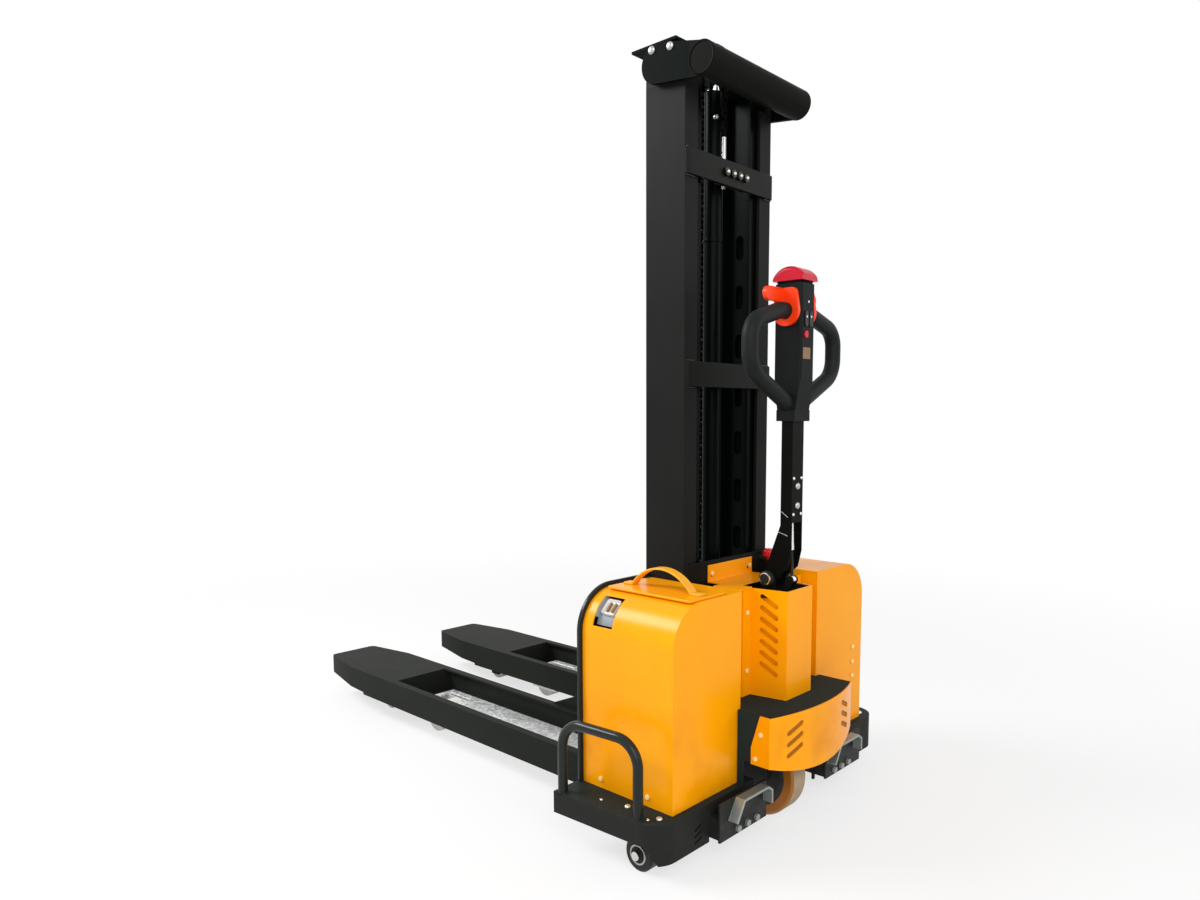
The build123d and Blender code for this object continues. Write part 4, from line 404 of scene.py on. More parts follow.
driveTread = {"axle": (-0.618, 0.092), "side": (0.42, 0.150, 0.010), "sideDark": (0.27, 0.090, 0.007),
              "tread": (0.29, 0.205, 0.115), "treadPale": (0.40, 0.30, 0.185), "faces": (-0.053, -0.003),
              "cheek": 0.0045, "scuff": (60, 4.0, 0.7), "scuffStretch": (0.3, 1, 1), "scuffEnds": (0.3, 0.7),
              "scuffRough": 0.15, "blotch": (22, 3.0), "rough": 0.35, "runRough": 0.25, "bump": (0.4, 0.0003),
              "spec": 0.4}


def makeTread():
    # amber polyurethane: darker translucent cheeks, dusty beige where it runs on the floor
    tread = Finish("drivePu")
    place = tread.place(shift=(0, -driveTread["axle"][0], -driveTread["axle"][1]))
    across = tread.axis(tread.place(), "X")
    low, high = driveTread["faces"]
    run = (across > low + driveTread["cheek"]) * (across < high - driveTread["cheek"])
    scuff = tread.noise(tread.place(scale=driveTread["scuffStretch"]), *driveTread["scuff"])
    blotch = tread.noise(place, *driveTread["blotch"])
    side = tread.mix(driveTread["side"], driveTread["sideDark"], blotch)
    dust = tread.ramp(scuff, *driveTread["scuffEnds"])
    dusty = tread.mix(driveTread["tread"], driveTread["treadPale"], dust)
    rough = driveTread["rough"] + run * driveTread["runRough"] + scuff.swing(driveTread["scuffRough"])
    normal = tread.bump(scuff, *driveTread["bump"])
    return tread.surface(tread.mix(side, dusty, run), rough, normal, spec=driveTread["spec"])


finishes["drivePu"] = makeTread()

# coats with one colour before an edge across the piece and another behind it
partlyDark = {
    # painted shade: the head's end plates, in front of the edge, are coloured darker and greener than its tube
    "headSteel": {"axis": "Y", "edge": -0.5255, "near": (0.0080, 0.0086, 0.0076), "far": (0.0024, 0.0047, 0.0036),
                  "rough": 0.40, "spec": 0.009, "metal": 0.0},
    # painted light: the tray's top face, above the edge, is tinted blue-green against the orange light the covers
    # bounce onto it
    "trayPaint": {"axis": "Z", "edge": 0.1045, "near": (0.0205, 0.0215, 0.0200), "far": (0.0185, 0.0275, 0.0255),
                  "rough": 0.52, "spec": 0.06, "metal": 0.0},
    "anchorSteel": {"axis": "Y", "edge": -0.5015, "near": (0.045, 0.044, 0.036), "far": (0.50, 0.50, 0.49),
                    "rough": 0.34, "spec": 0.5, "metal": 1.0},
}

# what these coats share
darkTexture = {"grain": (600, 2.0), "grainRough": 0.1, "blotch": (45, 3.0), "blotchRough": 0.2,
               "stain": (0.012, 0.012, 0.010), "stainShare": 0.35, "bump": (0.5, 0.00008)}


def makePartlyDark(name, job):
    coat = Finish(name)
    place = coat.place()
    grain = coat.noise(place, *darkTexture["grain"])
    blotch = coat.noise(place, *darkTexture["blotch"])
    behind = coat.axis(place, job["axis"]) > job["edge"]
    clean = coat.mix(job["near"], job["far"], behind)
    colour = coat.mix(clean, darkTexture["stain"], blotch * darkTexture["stainShare"])
    rough = job["rough"] + grain.swing(darkTexture["grainRough"]) + blotch.swing(darkTexture["blotchRough"])
    normal = coat.bump(grain, *darkTexture["bump"])
    return coat.surface(colour, rough, normal, metal=job["metal"], spec=job["spec"])


finishes.update({name: makePartlyDark(name, job) for name, job in partlyDark.items()})

# printed marks and the blank label
prints = {
    "whiteInk": {"body": (0.75, 0.76, 0.76), "pale": (0.86, 0.87, 0.87)},
    "brownLabel": {"body": (0.16, 0.085, 0.03), "pale": (0.24, 0.14, 0.06)},
}
printTexture = {"fleck": (500, 3.0), "fleckEnds": (0.35, 0.7), "fleckRough": 0.1, "rough": 0.4, "spec": 0.3,
                "bump": (0.2, 0.00005)}


def makePrint(name, job):
    ink = Finish(name)
    fleck = ink.noise(ink.place(), *printTexture["fleck"])
    colour = ink.mix(job["body"], job["pale"], ink.ramp(fleck, *printTexture["fleckEnds"]))
    rough = printTexture["rough"] + fleck.swing(printTexture["fleckRough"])
    return ink.surface(colour, rough, ink.bump(fleck, *printTexture["bump"]), spec=printTexture["spec"])


finishes.update({name: makePrint(name, job) for name, job in prints.items()})
print("finishes made,", len(finishes))

# the finish of each CAD node
nodeFinish = {
    "blackPaint": ["leg_sleeves", "guide_brackets"],
    "trayPaint": ["base_tray"],
    "guardPaint": ["drive_guard"],
    "tubePaint": ["step_hoops", "bulkheads"],
    "forkPaint": ["fork_left", "fork_right", "carriage_frame"],
    "satinBlack": ["steer_column", "mast_crossbars"],
    "shaftPaint": ["tiller_shaft"],
    "headSteel": ["mast_head"],
    "anchorSteel": ["chain_anchor"],
    "mastPaint": ["outer_mast_left", "outer_mast_right"],
    "glossBlack": ["inner_mast_left", "inner_mast_right", "lift_cylinder"],
    "yellowPaint": ["battery_cover", "pump_cover", "battery_lid", "column_cover", "column_bracket", "guard_skirt"],
    "strapYellow": ["lid_strap"],
    "socketBlock": ["charge_socket"],
    "blackPlastic": ["battery", "guide_wheel_left", "guide_wheel_right", "lift_button", "lower_button"],
    "castMetal": ["power_pack", "drive_unit", "drive_wheel"],
    "redPlastic": ["red_button", "belly_button"],
    "stopRed": ["estop_knob"],
    "orangePlastic": ["throttle"],
    "chrome": ["lift_rod"],
    "springRod": ["gas_spring_rod"],
    "sleeveSilver": ["gas_spring_tube"],
    "steel": ["steer_bearing", "mast_foot_rollers", "chain_sheave", "carriage_rollers_lower",
              "carriage_rollers_upper"],
    "chainSteel": ["chain_bend", "chain_front", "chain_rear"],
    "whiteNylon": ["fork_roller_left", "fork_roller_right", "leg_roller_left", "leg_roller_right"],
    "legZinc": ["leg_left", "leg_right"],
    "drivePu": ["drive_tyre"],
    "headPlastic": ["tiller_head"],
    "gripRubber": ["handle_loops"],
    "screwPaint": ["cover_screws"],
}
bodyOf = {name: body for body, names in frame["record"]["behaviour"]["bodies"].items() for name in names}
finishOf = {name: finish for finish, names in nodeFinish.items() for name in names}


def dress(piece, finish):
    piece.data.materials.clear()
    piece.data.materials.append(finishes[finish])


for name, finish in finishOf.items():
    dress(nodes[name], finish)
print("nodes dressed")

shadeAngle = 35  # degrees, sharper edges are shaded sharp


def toPiece(name, bm, finish):
    mesh = bpy.data.meshes.new(name)
    bm.to_mesh(mesh)
    bm.free()
    mesh.shade_smooth()
    mesh.set_sharp_from_angle(angle=math.radians(shadeAngle))
    piece = bpy.data.objects.new(name, mesh)
    scene.collection.objects.link(piece)
    dress(piece, finish)
    return piece


def addPiece(name, bm, finish, body):
    # turns a bmesh into a piece that rides on a body
    piece = toPiece(name, bm, finish)
    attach(piece, body)
    return piece


# pressed, welded and moulded edges: how far each node's corners are rounded, in metres
edgeRounds = {
    "base_tray": 0.0025, "bulkheads": 0.002, "battery_cover": 0.0012, "pump_cover": 0.0012,
    "battery_lid": 0.0014, "lid_strap": 0.0012, "outer_mast_left": 0.003, "outer_mast_right": 0.003,
    "mast_crossbars": 0.002, "column_cover": 0.001, "column_bracket": 0.001, "drive_guard": 0.002,
    "guard_skirt": 0.001, "inner_mast_left": 0.002, "inner_mast_right": 0.002, "mast_head": 0.002,
    "carriage_frame": 0.0015, "fork_left": 0.0025, "fork_right": 0.0025, "leg_left": 0.0012,
    "leg_right": 0.0012, "steer_column": 0.0012, "tiller_shaft": 0.0012, "tiller_head": 0.002,
    "throttle": 0.0022, "chain_anchor": 0.0006, "leg_sleeves": 0.0015, "guide_brackets": 0.001,
    "cover_screws": 0.0012,
}
squarePockets = {"tiller_head"}  # inner corners stay square, so that the pressed keys clear them
# vertices nearer than the merge are one, edges under the flat angle go, edges over the sharp angle are bevelled
edgeWork = {"merge": 0.00002, "flat": 0.5, "sharp": 30, "segments": 2}


def roundEdges(name, width):
    # a merged copy of the node with its sharp edges bevelled, shown in the node's place
    bm = bmesh.new()
    bm.from_mesh(nodes[name].data)
    bmesh.ops.remove_doubles(bm, verts=bm.verts, dist=edgeWork["merge"])
    bmesh.ops.dissolve_limit(bm, angle_limit=math.radians(edgeWork["flat"]), verts=bm.verts, edges=bm.edges)
    limit = math.radians(edgeWork["sharp"])
    sharp = [edge for edge in bm.edges if edge.is_manifold and edge.calc_face_angle() > limit]
    if name in squarePockets:
        sharp = [edge for edge in sharp if edge.is_convex]
    bmesh.ops.bevel(bm, geom=sharp, offset=width, offset_type="OFFSET", segments=edgeWork["segments"], profile=0.5,
                    affect="EDGES", clamp_overlap=True, material=-1)
    piece = addPiece(name + "Rounded", bm, finishOf[name], bodyOf[name])
    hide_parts(name)
    weights = piece.modifiers.new("flatFaces", "WEIGHTED_NORMAL")
    weights.keep_sharp = True


for name, width in edgeRounds.items():
    roundEdges(name, width)
print("edges rounded on", len(edgeRounds), "nodes")

poleGap = 0.000001  # points nearer than this are merged, as on the axis of a turned form


def turned(profile, steps=24, closed=False):
    # an outline of (radius, height) points, spun about Z
    bm = bmesh.new()
    rim = [bm.verts.new((radius, 0, height)) for radius, height in profile]
    ends = rim[1:] + rim[:1] if closed else rim[1:]
    for low, high in zip(rim, ends):
        bm.edges.new((low, high))
    bmesh.ops.spin(bm, geom=bm.verts[:] + bm.edges[:], cent=(0, 0, 0), axis=(0, 0, 1), angle=math.tau,
                   steps=steps, use_merge=True)
    bmesh.ops.remove_doubles(bm, verts=bm.verts, dist=poleGap)
    bmesh.ops.recalc_face_normals(bm, faces=bm.faces)
    return bm


def raiseNew(bm, geom, rise):
    # lifts the new vertices of an extrusion
    new = [part for part in geom if isinstance(part, bmesh.types.BMVert)]
    bmesh.ops.translate(bm, verts=new, vec=(0, 0, rise))


def thicken(bm, thick):
    # draws a flat face up to a plate
    raised = bmesh.ops.extrude_face_region(bm, geom=bm.faces[:], use_keep_orig=True)["geom"]
    raiseNew(bm, raised, thick)
    bmesh.ops.recalc_face_normals(bm, faces=bm.faces)


def oblong(halfX, halfY):
    return [(-halfX, -halfY), (halfX, -halfY), (halfX, halfY), (-halfX, halfY)]


def plaque(outline, thick, corner):
    # a flat plate on Z 0: an outline of (x, y) points, its corners rounded, then raised
    bm = bmesh.new()
    bm.faces.new([bm.verts.new((x, y, 0)) for x, y in outline])
    if corner:
        bmesh.ops.bevel(bm, geom=bm.verts[:], offset=corner, offset_type="OFFSET", segments=4, profile=0.5,
                        affect="VERTICES", material=-1)
    thicken(bm, thick)
    return bm


def seat(bm, spot, way=(0, 0, 1)):
    # sets a form down on a spot, its Z along the given way
    bmesh.ops.transform(bm, matrix=Matrix.Translation(spot) @ facing(way), verts=bm.verts)
    return bm


def gather(forms):
    # several forms in one bmesh
    whole = bmesh.new()
    for form in forms:
        mesh = bpy.data.meshes.new("form")
        form.to_mesh(mesh)
        form.free()
        whole.from_mesh(mesh)
        bpy.data.meshes.remove(mesh)
    return whole


def mirrored(spots):
    # the same spots on the other side of the machine
    return [(-x, y, z) for x, y, z in spots]


def bothSides(spots):
    return spots + mirrored(spots)


def addRight(jobs, names):
    # left fittings again on the right
    for name in names:
        left = jobs[name + "Left"]
        (way,) = mirrored([left["way"]])
        jobs[name + "Right"] = {**left, "way": way, "spots": mirrored(left["spots"]),
                                "body": left["body"].replace("left", "right")}


def addAll(jobs, makeForm):
    # each job's form on each of its spots, all of them one piece
    for name, job in jobs.items():
        forms = [seat(makeForm(job), spot, job["way"]) for spot in job["spots"]]
        addPiece(name, gather(forms), job["finish"], job["body"])


# screw and bolt heads: radius and height of the dome, which way it faces, and where each one sits
boltHeads = {
    "trayBolts": {"radius": 0.0062, "height": 0.0040, "finish": "boltZinc", "body": "chassis", "slot": "steel",
                  "way": (0, 0, 1), "spots": bothSides([(-0.368, -0.555, 0.106), (-0.366, -0.630, 0.106)])},
    "trayDots": {"radius": 0.0034, "height": 0.0024, "finish": "boltZinc", "body": "chassis", "slot": "steel",
                 "way": (0, 0, 1), "spots": bothSides([(-0.380, -0.499, 0.106), (-0.382, -0.617, 0.106)])},
    "shaftScrews": {"radius": 0.0034, "height": 0.0022, "finish": "boltZinc", "body": "tiller", "slot": "steel",
                    "way": (0, -1, 0), "spots": bothSides([(-0.0138, -0.675, 0.695), (-0.0138, -0.675, 0.623)])},
    "shaftBolts": {"radius": 0.0070, "height": 0.0042, "finish": "steel", "body": "tiller", "slot": "steel",
                   "way": (0, -1, 0), "spots": [(0, -0.675, 0.679), (0, -0.675, 0.640)]},
    "headBoltsLeft": {"radius": 0.0085, "height": 0.0055, "finish": "steel", "body": "inner_mast",
                      "slot": "steel", "way": (-1, 0, 0),
                      "spots": [(-0.163, -0.478, 1.5217), (-0.163, -0.431, 1.5264)]},
    "wheelBoltLeft": {"radius": 0.0085, "height": 0.0030, "finish": "boltZinc", "body": "chassis",
                      "slot": "steel", "way": (-1, 0, 0), "spots": [(-0.3880, -0.592, 0.032)]},
    "anchorStuds": {"radius": 0.0042, "height": 0.0045, "finish": "boltZinc", "body": "chassis", "slot": "steel",
                    "way": (0, -1, 0),
                    "spots": [(-0.026, -0.516, 1.3110), (-0.004, -0.516, 1.3110), (0.018, -0.516, 1.3110),
                              (0.040, -0.516, 1.3110)]},
    "ramFitting": {"radius": 0.0060, "height": 0.0080, "finish": "steel", "body": "chassis", "slot": "steel",
                   "way": (-0.6, -0.8, 0), "spots": [(-0.0110, -0.4720, 1.430)]},
    "panelLamp": {"radius": 0.0024, "height": 0.0008, "finish": "whiteInk", "body": "tiller",
                  "slot": "white_nylon", "way": (0, -1, 0), "spots": [(0.0015, -0.693, 1.039)]},
}

# outline of a dome in shares of its radius and height, share of the radius at its foot, and how far that is sunk
dome = {"outline": [(0, 1), (0.45, 0.94), (0.78, 0.72), (0.96, 0.36), (1, 0)], "foot": 0.9, "sink": 0.0006}


def domedHead(job):
    outline = [(across * job["radius"], up * job["height"]) for across, up in dome["outline"]]
    return turned(outline + [(dome["foot"] * job["radius"], -dome["sink"]), (0, -dome["sink"])])


addRight(boltHeads, ["headBolts", "wheelBolt"])
addAll(boltHeads, domedHead)
print("bolt heads set,", sum(len(job["spots"]) for job in boltHeads.values()))

# turned collars and rings: outline of (radius, height) points, which way they face and where they sit
rings = {
    "pivotBossLeft": {"outline": [(0, 0.0102), (0.0085, 0.0102), (0.0100, 0.0088), (0.0150, 0.0078),
                                  (0.0160, 0.0060), (0.0160, 0.0002), (0, 0.0002)],
                      "finish": "blackPaint", "body": "steer", "slot": "black_paint",
                      "way": (-1, 0, 0), "spots": [(-0.027, -0.624, 0.490)]},
    "pivotRingLeft": {"outline": [(0.0102, 0.0090), (0.0108, 0.0102), (0.0128, 0.0100), (0.0134, 0.0080),
                                  (0.0102, 0.0080)],
                      "finish": "chrome", "body": "steer", "slot": "chrome",
                      "way": (-1, 0, 0), "spots": [(-0.027, -0.624, 0.490)]},
    "guideRingLeft": {"outline": [(0.0150, -0.0005), (0.0155, 0.0016), (0.0185, 0.0016), (0.0192, -0.0005)],
                      "finish": "steel", "body": "guide_left", "slot": "chrome",
                      "way": (-1, 0, 0), "spots": [(-0.380, -0.592, 0.032)]},
    "headRimLeft": {"outline": [(0.0265, -0.0010), (0.0270, 0.0010), (0.0290, 0.0016), (0.0308, 0.0008),
                                (0.0308, -0.0010)],
                    "finish": "shaftPaint", "body": "inner_mast", "slot": "black_paint",
                    "way": (-1, 0, 0), "spots": [(-0.167, -0.557, 1.480)]},
    "ramCollar": {"outline": [(0.0185, 0.0), (0.0205, 0.0008), (0.0210, 0.0040), (0.0205, 0.0072),
                              (0.0185, 0.0080)],
                  "finish": "glossBlack", "body": "chassis", "slot": "black_paint",
                  "way": (0, 0, 1), "spots": [(0, -0.457, 1.180)]},
}


def makeRing(job):
    hollow = job["outline"][0][0] > 0
    return turned(job["outline"], steps=40, closed=hollow)


addRight(rings, ["pivotBoss", "pivotRing", "guideRing", "headRim"])
addAll(rings, makeRing)
print("rings turned,", len(rings))

# weld beads: straight runs between two points and rings round the feet of the step hoops
welds = {
    "runs": [((-0.144, -0.5032, level), (-0.118, -0.5032, level)) for level in (1.3372, 1.2848, 0.9282, 0.8758)],
    "footRuns": [((-0.0203, -0.6450, 0.5860), (-0.0203, -0.6670, 0.5800)),
                 ((-0.0203, -0.6510, 0.6280), (-0.0203, -0.6670, 0.6170))],
    "rings": bothSides([(-0.391, -0.602, 0.1065), (-0.405, -0.421, 0.1065)]),
    "size": 0.0022, "footSize": 0.0011, "hoop": 0.0098, "traySide": 0.4142,
    "pitch": 1.5, "fewest": 3, "valley": 0.78, "sides": 10, "ringBeads": 15, "ringSides": 8, "ringDip": 0.7,
}


def beadRun(start, end, size):
    # a lathe form with a ripple at each bead, laid along the seam
    seam = Vector(end) - Vector(start)
    beads = max(welds["fewest"], round(seam.length / (welds["pitch"] * size)))
    outline = [(0, 0)]
    for step in range(2 * beads + 1):
        outline.append((size * (1.0 if step % 2 else welds["valley"]), seam.length * step / (2 * beads)))
    outline.append((0, seam.length))
    return seat(turned(outline, welds["sides"]), start, seam)


def beadRuns(runs, size):
    return gather([beadRun(*run, size) for left in runs for run in (left, mirrored(left))])


def beadRing(spot, radius, size):
    # a ring whose every second step dips
    sides, steps = welds["ringSides"], 2 * welds["ringBeads"]
    outline = [(radius + size * math.cos(turn), size * math.sin(turn))
               for turn in (math.tau * step / sides for step in range(sides))]
    bm = turned(outline, steps, closed=True)
    for vert in bm.verts:
        step = round(math.atan2(vert.co.y, vert.co.x) / math.tau * steps)
        if step % 2:
            vert.co.z *= welds["ringDip"]
    return seat(bm, spot)


addPiece("crossWelds", beadRuns(welds["runs"], welds["size"]), "tubePaint", "chassis")
addPiece("footWelds", beadRuns(welds["footRuns"], welds["footSize"]), "steel", "tiller")
hoopWelds = gather([beadRing(spot, welds["hoop"], welds["size"]) for spot in welds["rings"]])
for side in (-1, 1):
    # ground flush with the side of the tray
    bmesh.ops.bisect_plane(hoopWelds, geom=hoopWelds.verts[:] + hoopWelds.edges[:] + hoopWelds.faces[:],
                           plane_co=(side * welds["traySide"], 0, 0), plane_no=(side, 0, 0), clear_outer=True)
addPiece("hoopWelds", hoopWelds, "blackPaint", "chassis")
print("welds laid")

# rubber boot in the top of the column cover, round the steering post
columnBoot = {"outline": [(-0.0558, -0.606), (-0.0422, -0.6820), (0.0422, -0.6820), (0.0558, -0.606),
                          (0.0558, -0.589), (-0.0558, -0.589)],
              "walls": 3, "level": 0.4548, "rise": 0.0168, "wall": 0.001, "axle": -0.618, "hole": 0.0240}


def makeColumnBoot(boot):
    bm = bmesh.new()
    rim = [bm.verts.new((x, y, boot["level"])) for x, y in boot["outline"]]
    rimEdges = [bm.edges.new(pair) for pair in zip(rim, rim[1:] + rim[:1])]
    hole = bmesh.ops.create_circle(bm, segments=28, radius=boot["hole"])["verts"]
    bmesh.ops.translate(bm, verts=hole, vec=(0, boot["axle"], boot["level"]))
    holeEdges = [edge for edge in bm.edges if edge not in rimEdges]
    bmesh.ops.bridge_loops(bm, edges=rimEdges + holeEdges)
    sides = bmesh.ops.extrude_edge_only(bm, edges=rimEdges[:boot["walls"]])["geom"]
    raiseNew(bm, sides, boot["rise"])
    bmesh.ops.recalc_face_normals(bm, faces=bm.faces)
    bmesh.ops.solidify(bm, geom=bm.faces[:], thickness=boot["wall"])
    return bm


addPiece("columnBoot", makeColumnBoot(columnBoot), "blackPlastic", "chassis")

# sheet-metal baffles behind the vents of the column cover: foot line, height and wall of the left one
ventBaffle = {"foot": [(-0.0500, -0.613), (-0.0385, -0.677)], "heights": (0.262, 0.4536), "wall": 0.001}


def makeBaffle(baffle, side):
    low, high = baffle["heights"]
    bm = bmesh.new()
    foot = bm.edges.new([bm.verts.new((-side * x, y, low)) for x, y in baffle["foot"]])
    raised = bmesh.ops.extrude_edge_only(bm, edges=[foot])["geom"]
    raiseNew(bm, raised, high - low)
    bmesh.ops.solidify(bm, geom=bm.faces[:], thickness=baffle["wall"])
    bmesh.ops.recalc_face_normals(bm, faces=bm.faces)
    return bm


addPiece("ventBaffles", gather([makeBaffle(ventBaffle, side) for side in (-1, 1)]), "yellowPaint", "chassis")

# louvre backs in the slots of the guard's skirt, inside the sheet, on the skirt's own arc, coloured shaded brown as
# painted shade inside the slots
louvreBack = {"centre": -0.3346, "radius": 0.4134, "heights": (0.150, 0.240), "angles": (7, 20), "wall": 0.0006}


def makeLouvreBack(louvre, side):
    low, high = louvre["heights"]
    first, last = (math.radians(side * angle) for angle in louvre["angles"])
    bm = bmesh.new()
    x, y = louvre["radius"] * math.sin(first), louvre["centre"] - louvre["radius"] * math.cos(first)
    bm.edges.new([bm.verts.new((x, y, level)) for level in (low, high)])
    bmesh.ops.spin(bm, geom=bm.verts[:] + bm.edges[:], cent=(0, louvre["centre"], 0), axis=(0, 0, 1),
                   angle=last - first, steps=8)
    bmesh.ops.recalc_face_normals(bm, faces=bm.faces)
    bmesh.ops.solidify(bm, geom=bm.faces[:], thickness=louvre["wall"])
    bmesh.ops.recalc_face_normals(bm, faces=bm.faces)
    return bm


addPiece("louvreBacks", gather([makeLouvreBack(louvreBack, side) for side in (-1, 1)]), "louvreShadeBrown", "chassis")
print("column and skirt fitted out")

# charging port: a white shell on the socket's rounded face, two brown slots in it and a slate cheek beside it
chargePort = {"axis": (-0.2635, 0.4030), "face": 0.0680, "mid": -0.464, "way": (-0.70711, 0, 0.70711),
              "shell": oblong(0.0175, 0.0165), "corner": 0.0050, "wall": 0.0032, "proud": 0.0070, "floor": 0.0012,
              "slots": [(-0.0065, 0.0052), (0.0065, 0.0052)], "slotHeight": 0.0205, "slotThick": 0.0050,
              "slotCorner": 0.0016, "slotLift": 0.0004,
              "cheek": {"y": -0.4388, "radii": (0.066, 0.0785), "arc": 38, "wall": 0.0008}}


def portSpot(port, radius):
    x, z = port["axis"]
    return (x + port["way"][0] * radius, port["mid"], z + port["way"][2] * radius)


def makePortShell(port):
    bm = plaque(port["shell"], port["proud"], port["corner"])
    top = max(bm.faces, key=lambda face: face.calc_center_median().z)
    bmesh.ops.inset_region(bm, faces=[top], thickness=port["wall"])
    bmesh.ops.translate(bm, verts=top.verts[:], vec=(0, 0, port["floor"] - port["proud"]))
    return seat(bm, portSpot(port, port["face"]), port["way"])


def makePortSlots(port):
    half = port["slotHeight"] / 2
    slots = []
    for mid, width in port["slots"]:
        low, high = mid - width / 2, mid + width / 2
        outline = [(low, -half), (high, -half), (high, half), (low, half)]
        slot = plaque(outline, port["slotThick"], port["slotCorner"])
        slots.append(seat(slot, portSpot(port, port["face"] + port["slotLift"]), port["way"]))
    return gather(slots)


def makePortCheek(port):
    # a flat arc beside the port, spun about the cover's corner
    cheek = port["cheek"]
    half = math.radians(cheek["arc"] / 2)
    first = math.pi / 4 - half
    bm = bmesh.new()
    bm.edges.new([bm.verts.new((-radius * math.cos(first), 0, radius * math.sin(first))) for radius in cheek["radii"]])
    bmesh.ops.spin(bm, geom=bm.verts[:] + bm.edges[:], cent=(0, 0, 0), axis=(0, 1, 0), angle=2 * half, steps=12)
    bmesh.ops.recalc_face_normals(bm, faces=bm.faces)
    bmesh.ops.solidify(bm, geom=bm.faces[:], thickness=cheek["wall"])
    bmesh.ops.translate(bm, verts=bm.verts, vec=(port["axis"][0], cheek["y"], port["axis"][1]))
    bmesh.ops.recalc_face_normals(bm, faces=bm.faces)
    return bm


addPiece("portShell", makePortShell(chargePort), "whiteNylon", "chassis")
addPiece("portSlots", makePortSlots(chargePort), "brownInsert", "chassis")
addPiece("portCheek", makePortCheek(chargePort), "slatePlastic", "chassis")
print("charging port fitted")

# small plates and printed marks: outline, thickness, corner, place and facing
arrowUp = [(-0.0028, -0.0020), (0.0028, -0.0020), (0, 0.0030)]
arrowDown = [(-0.0028, 0.0020), (0, -0.0030), (0.0028, 0.0020)]
smallPlates = {
    "liftMark": {"outline": arrowUp, "thick": 0.0003, "corner": 0, "finish": "whiteInk", "body": "lift_key",
                 "slot": "white_nylon", "way": (0, -1, 0), "spots": [(-0.008, -0.6955, 1.0100)]},
    "lowerMark": {"outline": arrowDown, "thick": 0.0003, "corner": 0, "finish": "whiteInk", "body": "lower_key",
                  "slot": "white_nylon", "way": (0, -1, 0), "spots": [(0.008, -0.6955, 1.0100)]},
    "panelLabel": {"outline": oblong(0.0132, 0.011),
                   "thick": 0.0004, "corner": 0.0012, "finish": "brownLabel", "body": "tiller",
                   "slot": "black_plastic", "way": (0, -1, 0), "spots": [(-0.0042, -0.693, 0.940)]},
    "shelfWings": {"outline": [(-0.0160, -0.0320), (0.0160, -0.0330), (0.0160, 0.0330), (-0.0160, 0.0330)],
                   "thick": 0.0025, "corner": 0.0090, "finish": "yellowPaint", "body": "chassis",
                   "slot": "yellow_paint", "way": (0, 0, 1),
                   "spots": bothSides([(-0.0930, -0.5775, 0.4731)])},
    "mastCaps": {"outline": oblong(0.0036, 0.0510),
                 "thick": 0.0150, "corner": 0.0008, "finish": "mastPaint", "body": "chassis",
                 "slot": "black_paint", "way": (0, 0, 1), "spots": bothSides([(-0.1422, -0.4510, 1.4648)])},
    "bracketHoles": {"outline": oblong(0.0028, 0.0028),
                     "thick": 0.0003, "corner": 0.0020, "finish": "blackPlastic", "body": "chassis",
                     "slot": "black_plastic", "way": (0, -1, 0),
                     "spots": [(-0.067, -0.513, 0.4880), (0.061, -0.513, 0.4880)]},
}
addAll(smallPlates, lambda job: plaque(job["outline"], job["thick"], job["corner"]))
print("marks and plates set,", len(smallPlates))

# leaf chain: pitch, half width and wall of the leaves, where they stand across the strand, and the pins
leafChain = {"pitch": 0.0127, "plateHalf": 0.0033, "plateWall": 0.0026, "outer": 0.0052, "inner": 0.0019,
             "pin": 0.0019, "pinHalf": 0.0069}
strands = {
    "rearStrand": {"node": "chain_rear", "bodies": ("chassis", "inner_mast")},
    "frontStrand": {"node": "chain_front", "bodies": ("carriage", "inner_mast")},
}


def linkPlate(across, mid, low, pitch):
    # one leaf: a circle drawn out over two pins
    bm = bmesh.new()
    bmesh.ops.create_circle(bm, cap_ends=True, segments=12, radius=leafChain["plateHalf"])
    bmesh.ops.translate(bm, verts=[vert for vert in bm.verts if vert.co.y > 0], vec=(0, pitch, 0))
    thicken(bm, leafChain["plateWall"])
    return seat(bm, (across - leafChain["plateWall"] / 2, mid, low), (1, 0, 0))


def linkPin(mid, low):
    half = leafChain["pinHalf"]
    outline = [(0, -half), (leafChain["pin"], -half), (leafChain["pin"], half), (0, half)]
    return seat(turned(outline, steps=8), (0, mid, low), (1, 0, 0))


def makeStrand(strand):
    low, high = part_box(strand["node"])
    mid = (low.y + high.y) / 2
    run = high.z - low.z - 2 * leafChain["plateHalf"]
    links = round(run / leafChain["pitch"])
    pitch = run / links
    forms = []
    for link in range(links + 1):
        level = low.z + leafChain["plateHalf"] + link * pitch
        forms.append(linkPin(mid, level))
        offset = leafChain["outer"] if link % 2 else leafChain["inner"]
        if link < links:
            forms += [linkPlate(across, mid, level, pitch) for across in (-offset, offset)]
    return gather(forms), (0, mid, low.z), (0, mid, high.z)


for name, strand in strands.items():
    links, start, end = makeStrand(strand)
    piece = toPiece(name, links, "chainSteel")
    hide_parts(strand["node"])
    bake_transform(piece)
print("chains hung")

# light: a soft key behind the camera, a fill on the right,
# and a soft box on the left that the covers' shoulders mirror
lamps = {
    "keyLight": {"place": (-2.6, -3.6, 2.6), "aim": (0, -0.2, 0.7), "size": (3.2, 3.2), "watts": 106},
    "fillLight": {"place": (3.0, -3.4, 2.2), "aim": (0, -0.2, 0.6), "size": (3.0, 3.0), "watts": 26},
    "sideLight": {"place": (-2.1, 2.05, 2.85), "aim": (-0.33, -0.57, 0.44), "size": (1.8, 1.2), "watts": 115},
}


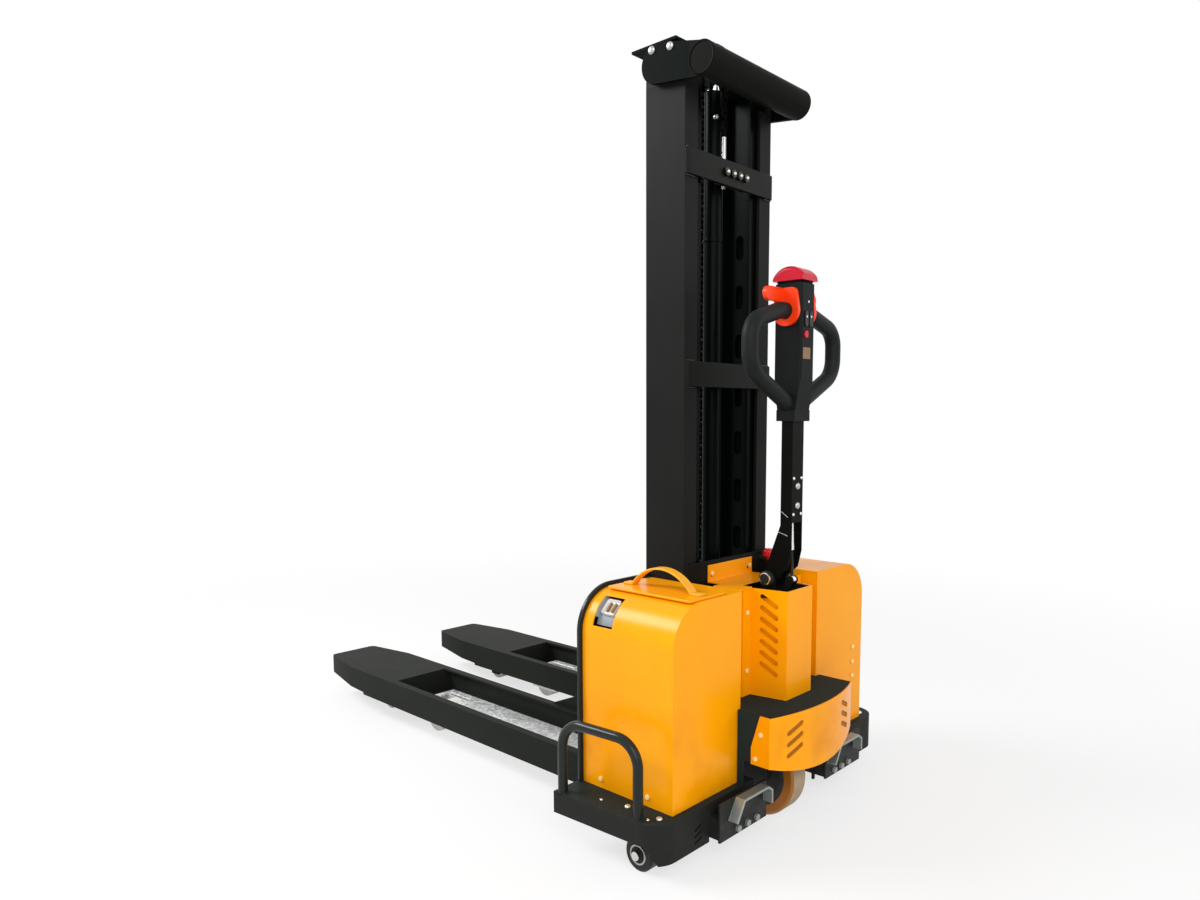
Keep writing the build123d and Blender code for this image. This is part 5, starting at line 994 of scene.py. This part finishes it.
def addLamp(name, lamp):
    data = bpy.data.lights.new(name, "AREA")
    data.shape = "RECTANGLE"
    data.size, data.size_y = lamp["size"]
    data.energy = lamp["watts"]
    light = bpy.data.objects.new(name, data)
    away = Vector(lamp["place"]) - Vector(lamp["aim"])
    light.matrix_world = Matrix.Translation(lamp["place"]) @ facing(away)
    scene.collection.objects.link(light)


for name, lamp in lamps.items():
    addLamp(name, lamp)

# white studio: world light, floor colour, how white the floor shows near the machine and where it turns all white
studio = {"worldLevel": 0.55, "floorColour": (0.82, 0.82, 0.82), "floorGlow": 0.70, "fade": (0.9, 3.2),
          "floorSize": 50.0}


def seenWhite(node, link):
    # 1 for rays from the camera and for mirror and glass rays, 0 for the light that falls on the machine
    path = node("ShaderNodeLightPath")
    shown = path.outputs["Is Camera Ray"]
    for ray in ("Is Glossy Ray", "Is Transmission Ray"):
        either = node("ShaderNodeMath")
        either.operation = "MAXIMUM"
        link(shown, either.inputs[0])
        link(path.outputs[ray], either.inputs[1])
        shown = either.outputs[0]
    return shown


def setWorld():
    world = bpy.data.worlds.new("studioWorld")
    scene.world = world
    world.use_nodes = True
    tree = world.node_tree
    tree.nodes.clear()
    level = tree.nodes.new("ShaderNodeMapRange")
    level.inputs["To Min"].default_value = studio["worldLevel"]
    level.inputs["To Max"].default_value = 1.0
    tree.links.new(seenWhite(tree.nodes.new, tree.links.new), level.inputs["Value"])
    back = tree.nodes.new("ShaderNodeBackground")
    back.inputs["Color"].default_value = (1, 1, 1, 1)
    tree.links.new(level.outputs["Result"], back.inputs["Strength"])
    out = tree.nodes.new("ShaderNodeOutputWorld")
    tree.links.new(back.outputs[0], out.inputs["Surface"])


def addFloor():
    ground = Finish("studioFloor")
    shown = Wire(ground, seenWhite(ground.tree.nodes.new, ground.tree.links.new))
    reach = ground.node("ShaderNodeVectorMath", {"operation": "LENGTH"}, {0: ground.place()}, out="Value")
    near, far = studio["fade"]
    fade = ground.node("ShaderNodeMapRange", {"interpolation_type": "SMOOTHSTEP"}, {
        "Value": reach, "From Min": near, "From Max": far, "To Min": studio["floorGlow"], "To Max": 1.0})
    matt = ground.node("ShaderNodeBsdfDiffuse", None, {"Color": (*studio["floorColour"], 1)})
    glow = ground.node("ShaderNodeEmission", None, {"Color": (1, 1, 1, 1), "Strength": 1.0})
    both = ground.node("ShaderNodeMixShader", None, {0: shown * fade, 1: matt, 2: glow})
    ground.node("ShaderNodeOutputMaterial", None, {"Surface": both})
    bm = bmesh.new()
    bmesh.ops.create_grid(bm, x_segments=1, y_segments=1, size=studio["floorSize"])
    mesh = bpy.data.meshes.new("studioFloor")
    bm.to_mesh(mesh)
    bm.free()
    floor = bpy.data.objects.new("studioFloor", mesh)
    floor.data.materials.append(ground.material)
    scene.collection.objects.link(floor)


setWorld()
addFloor()
print("studio lit")
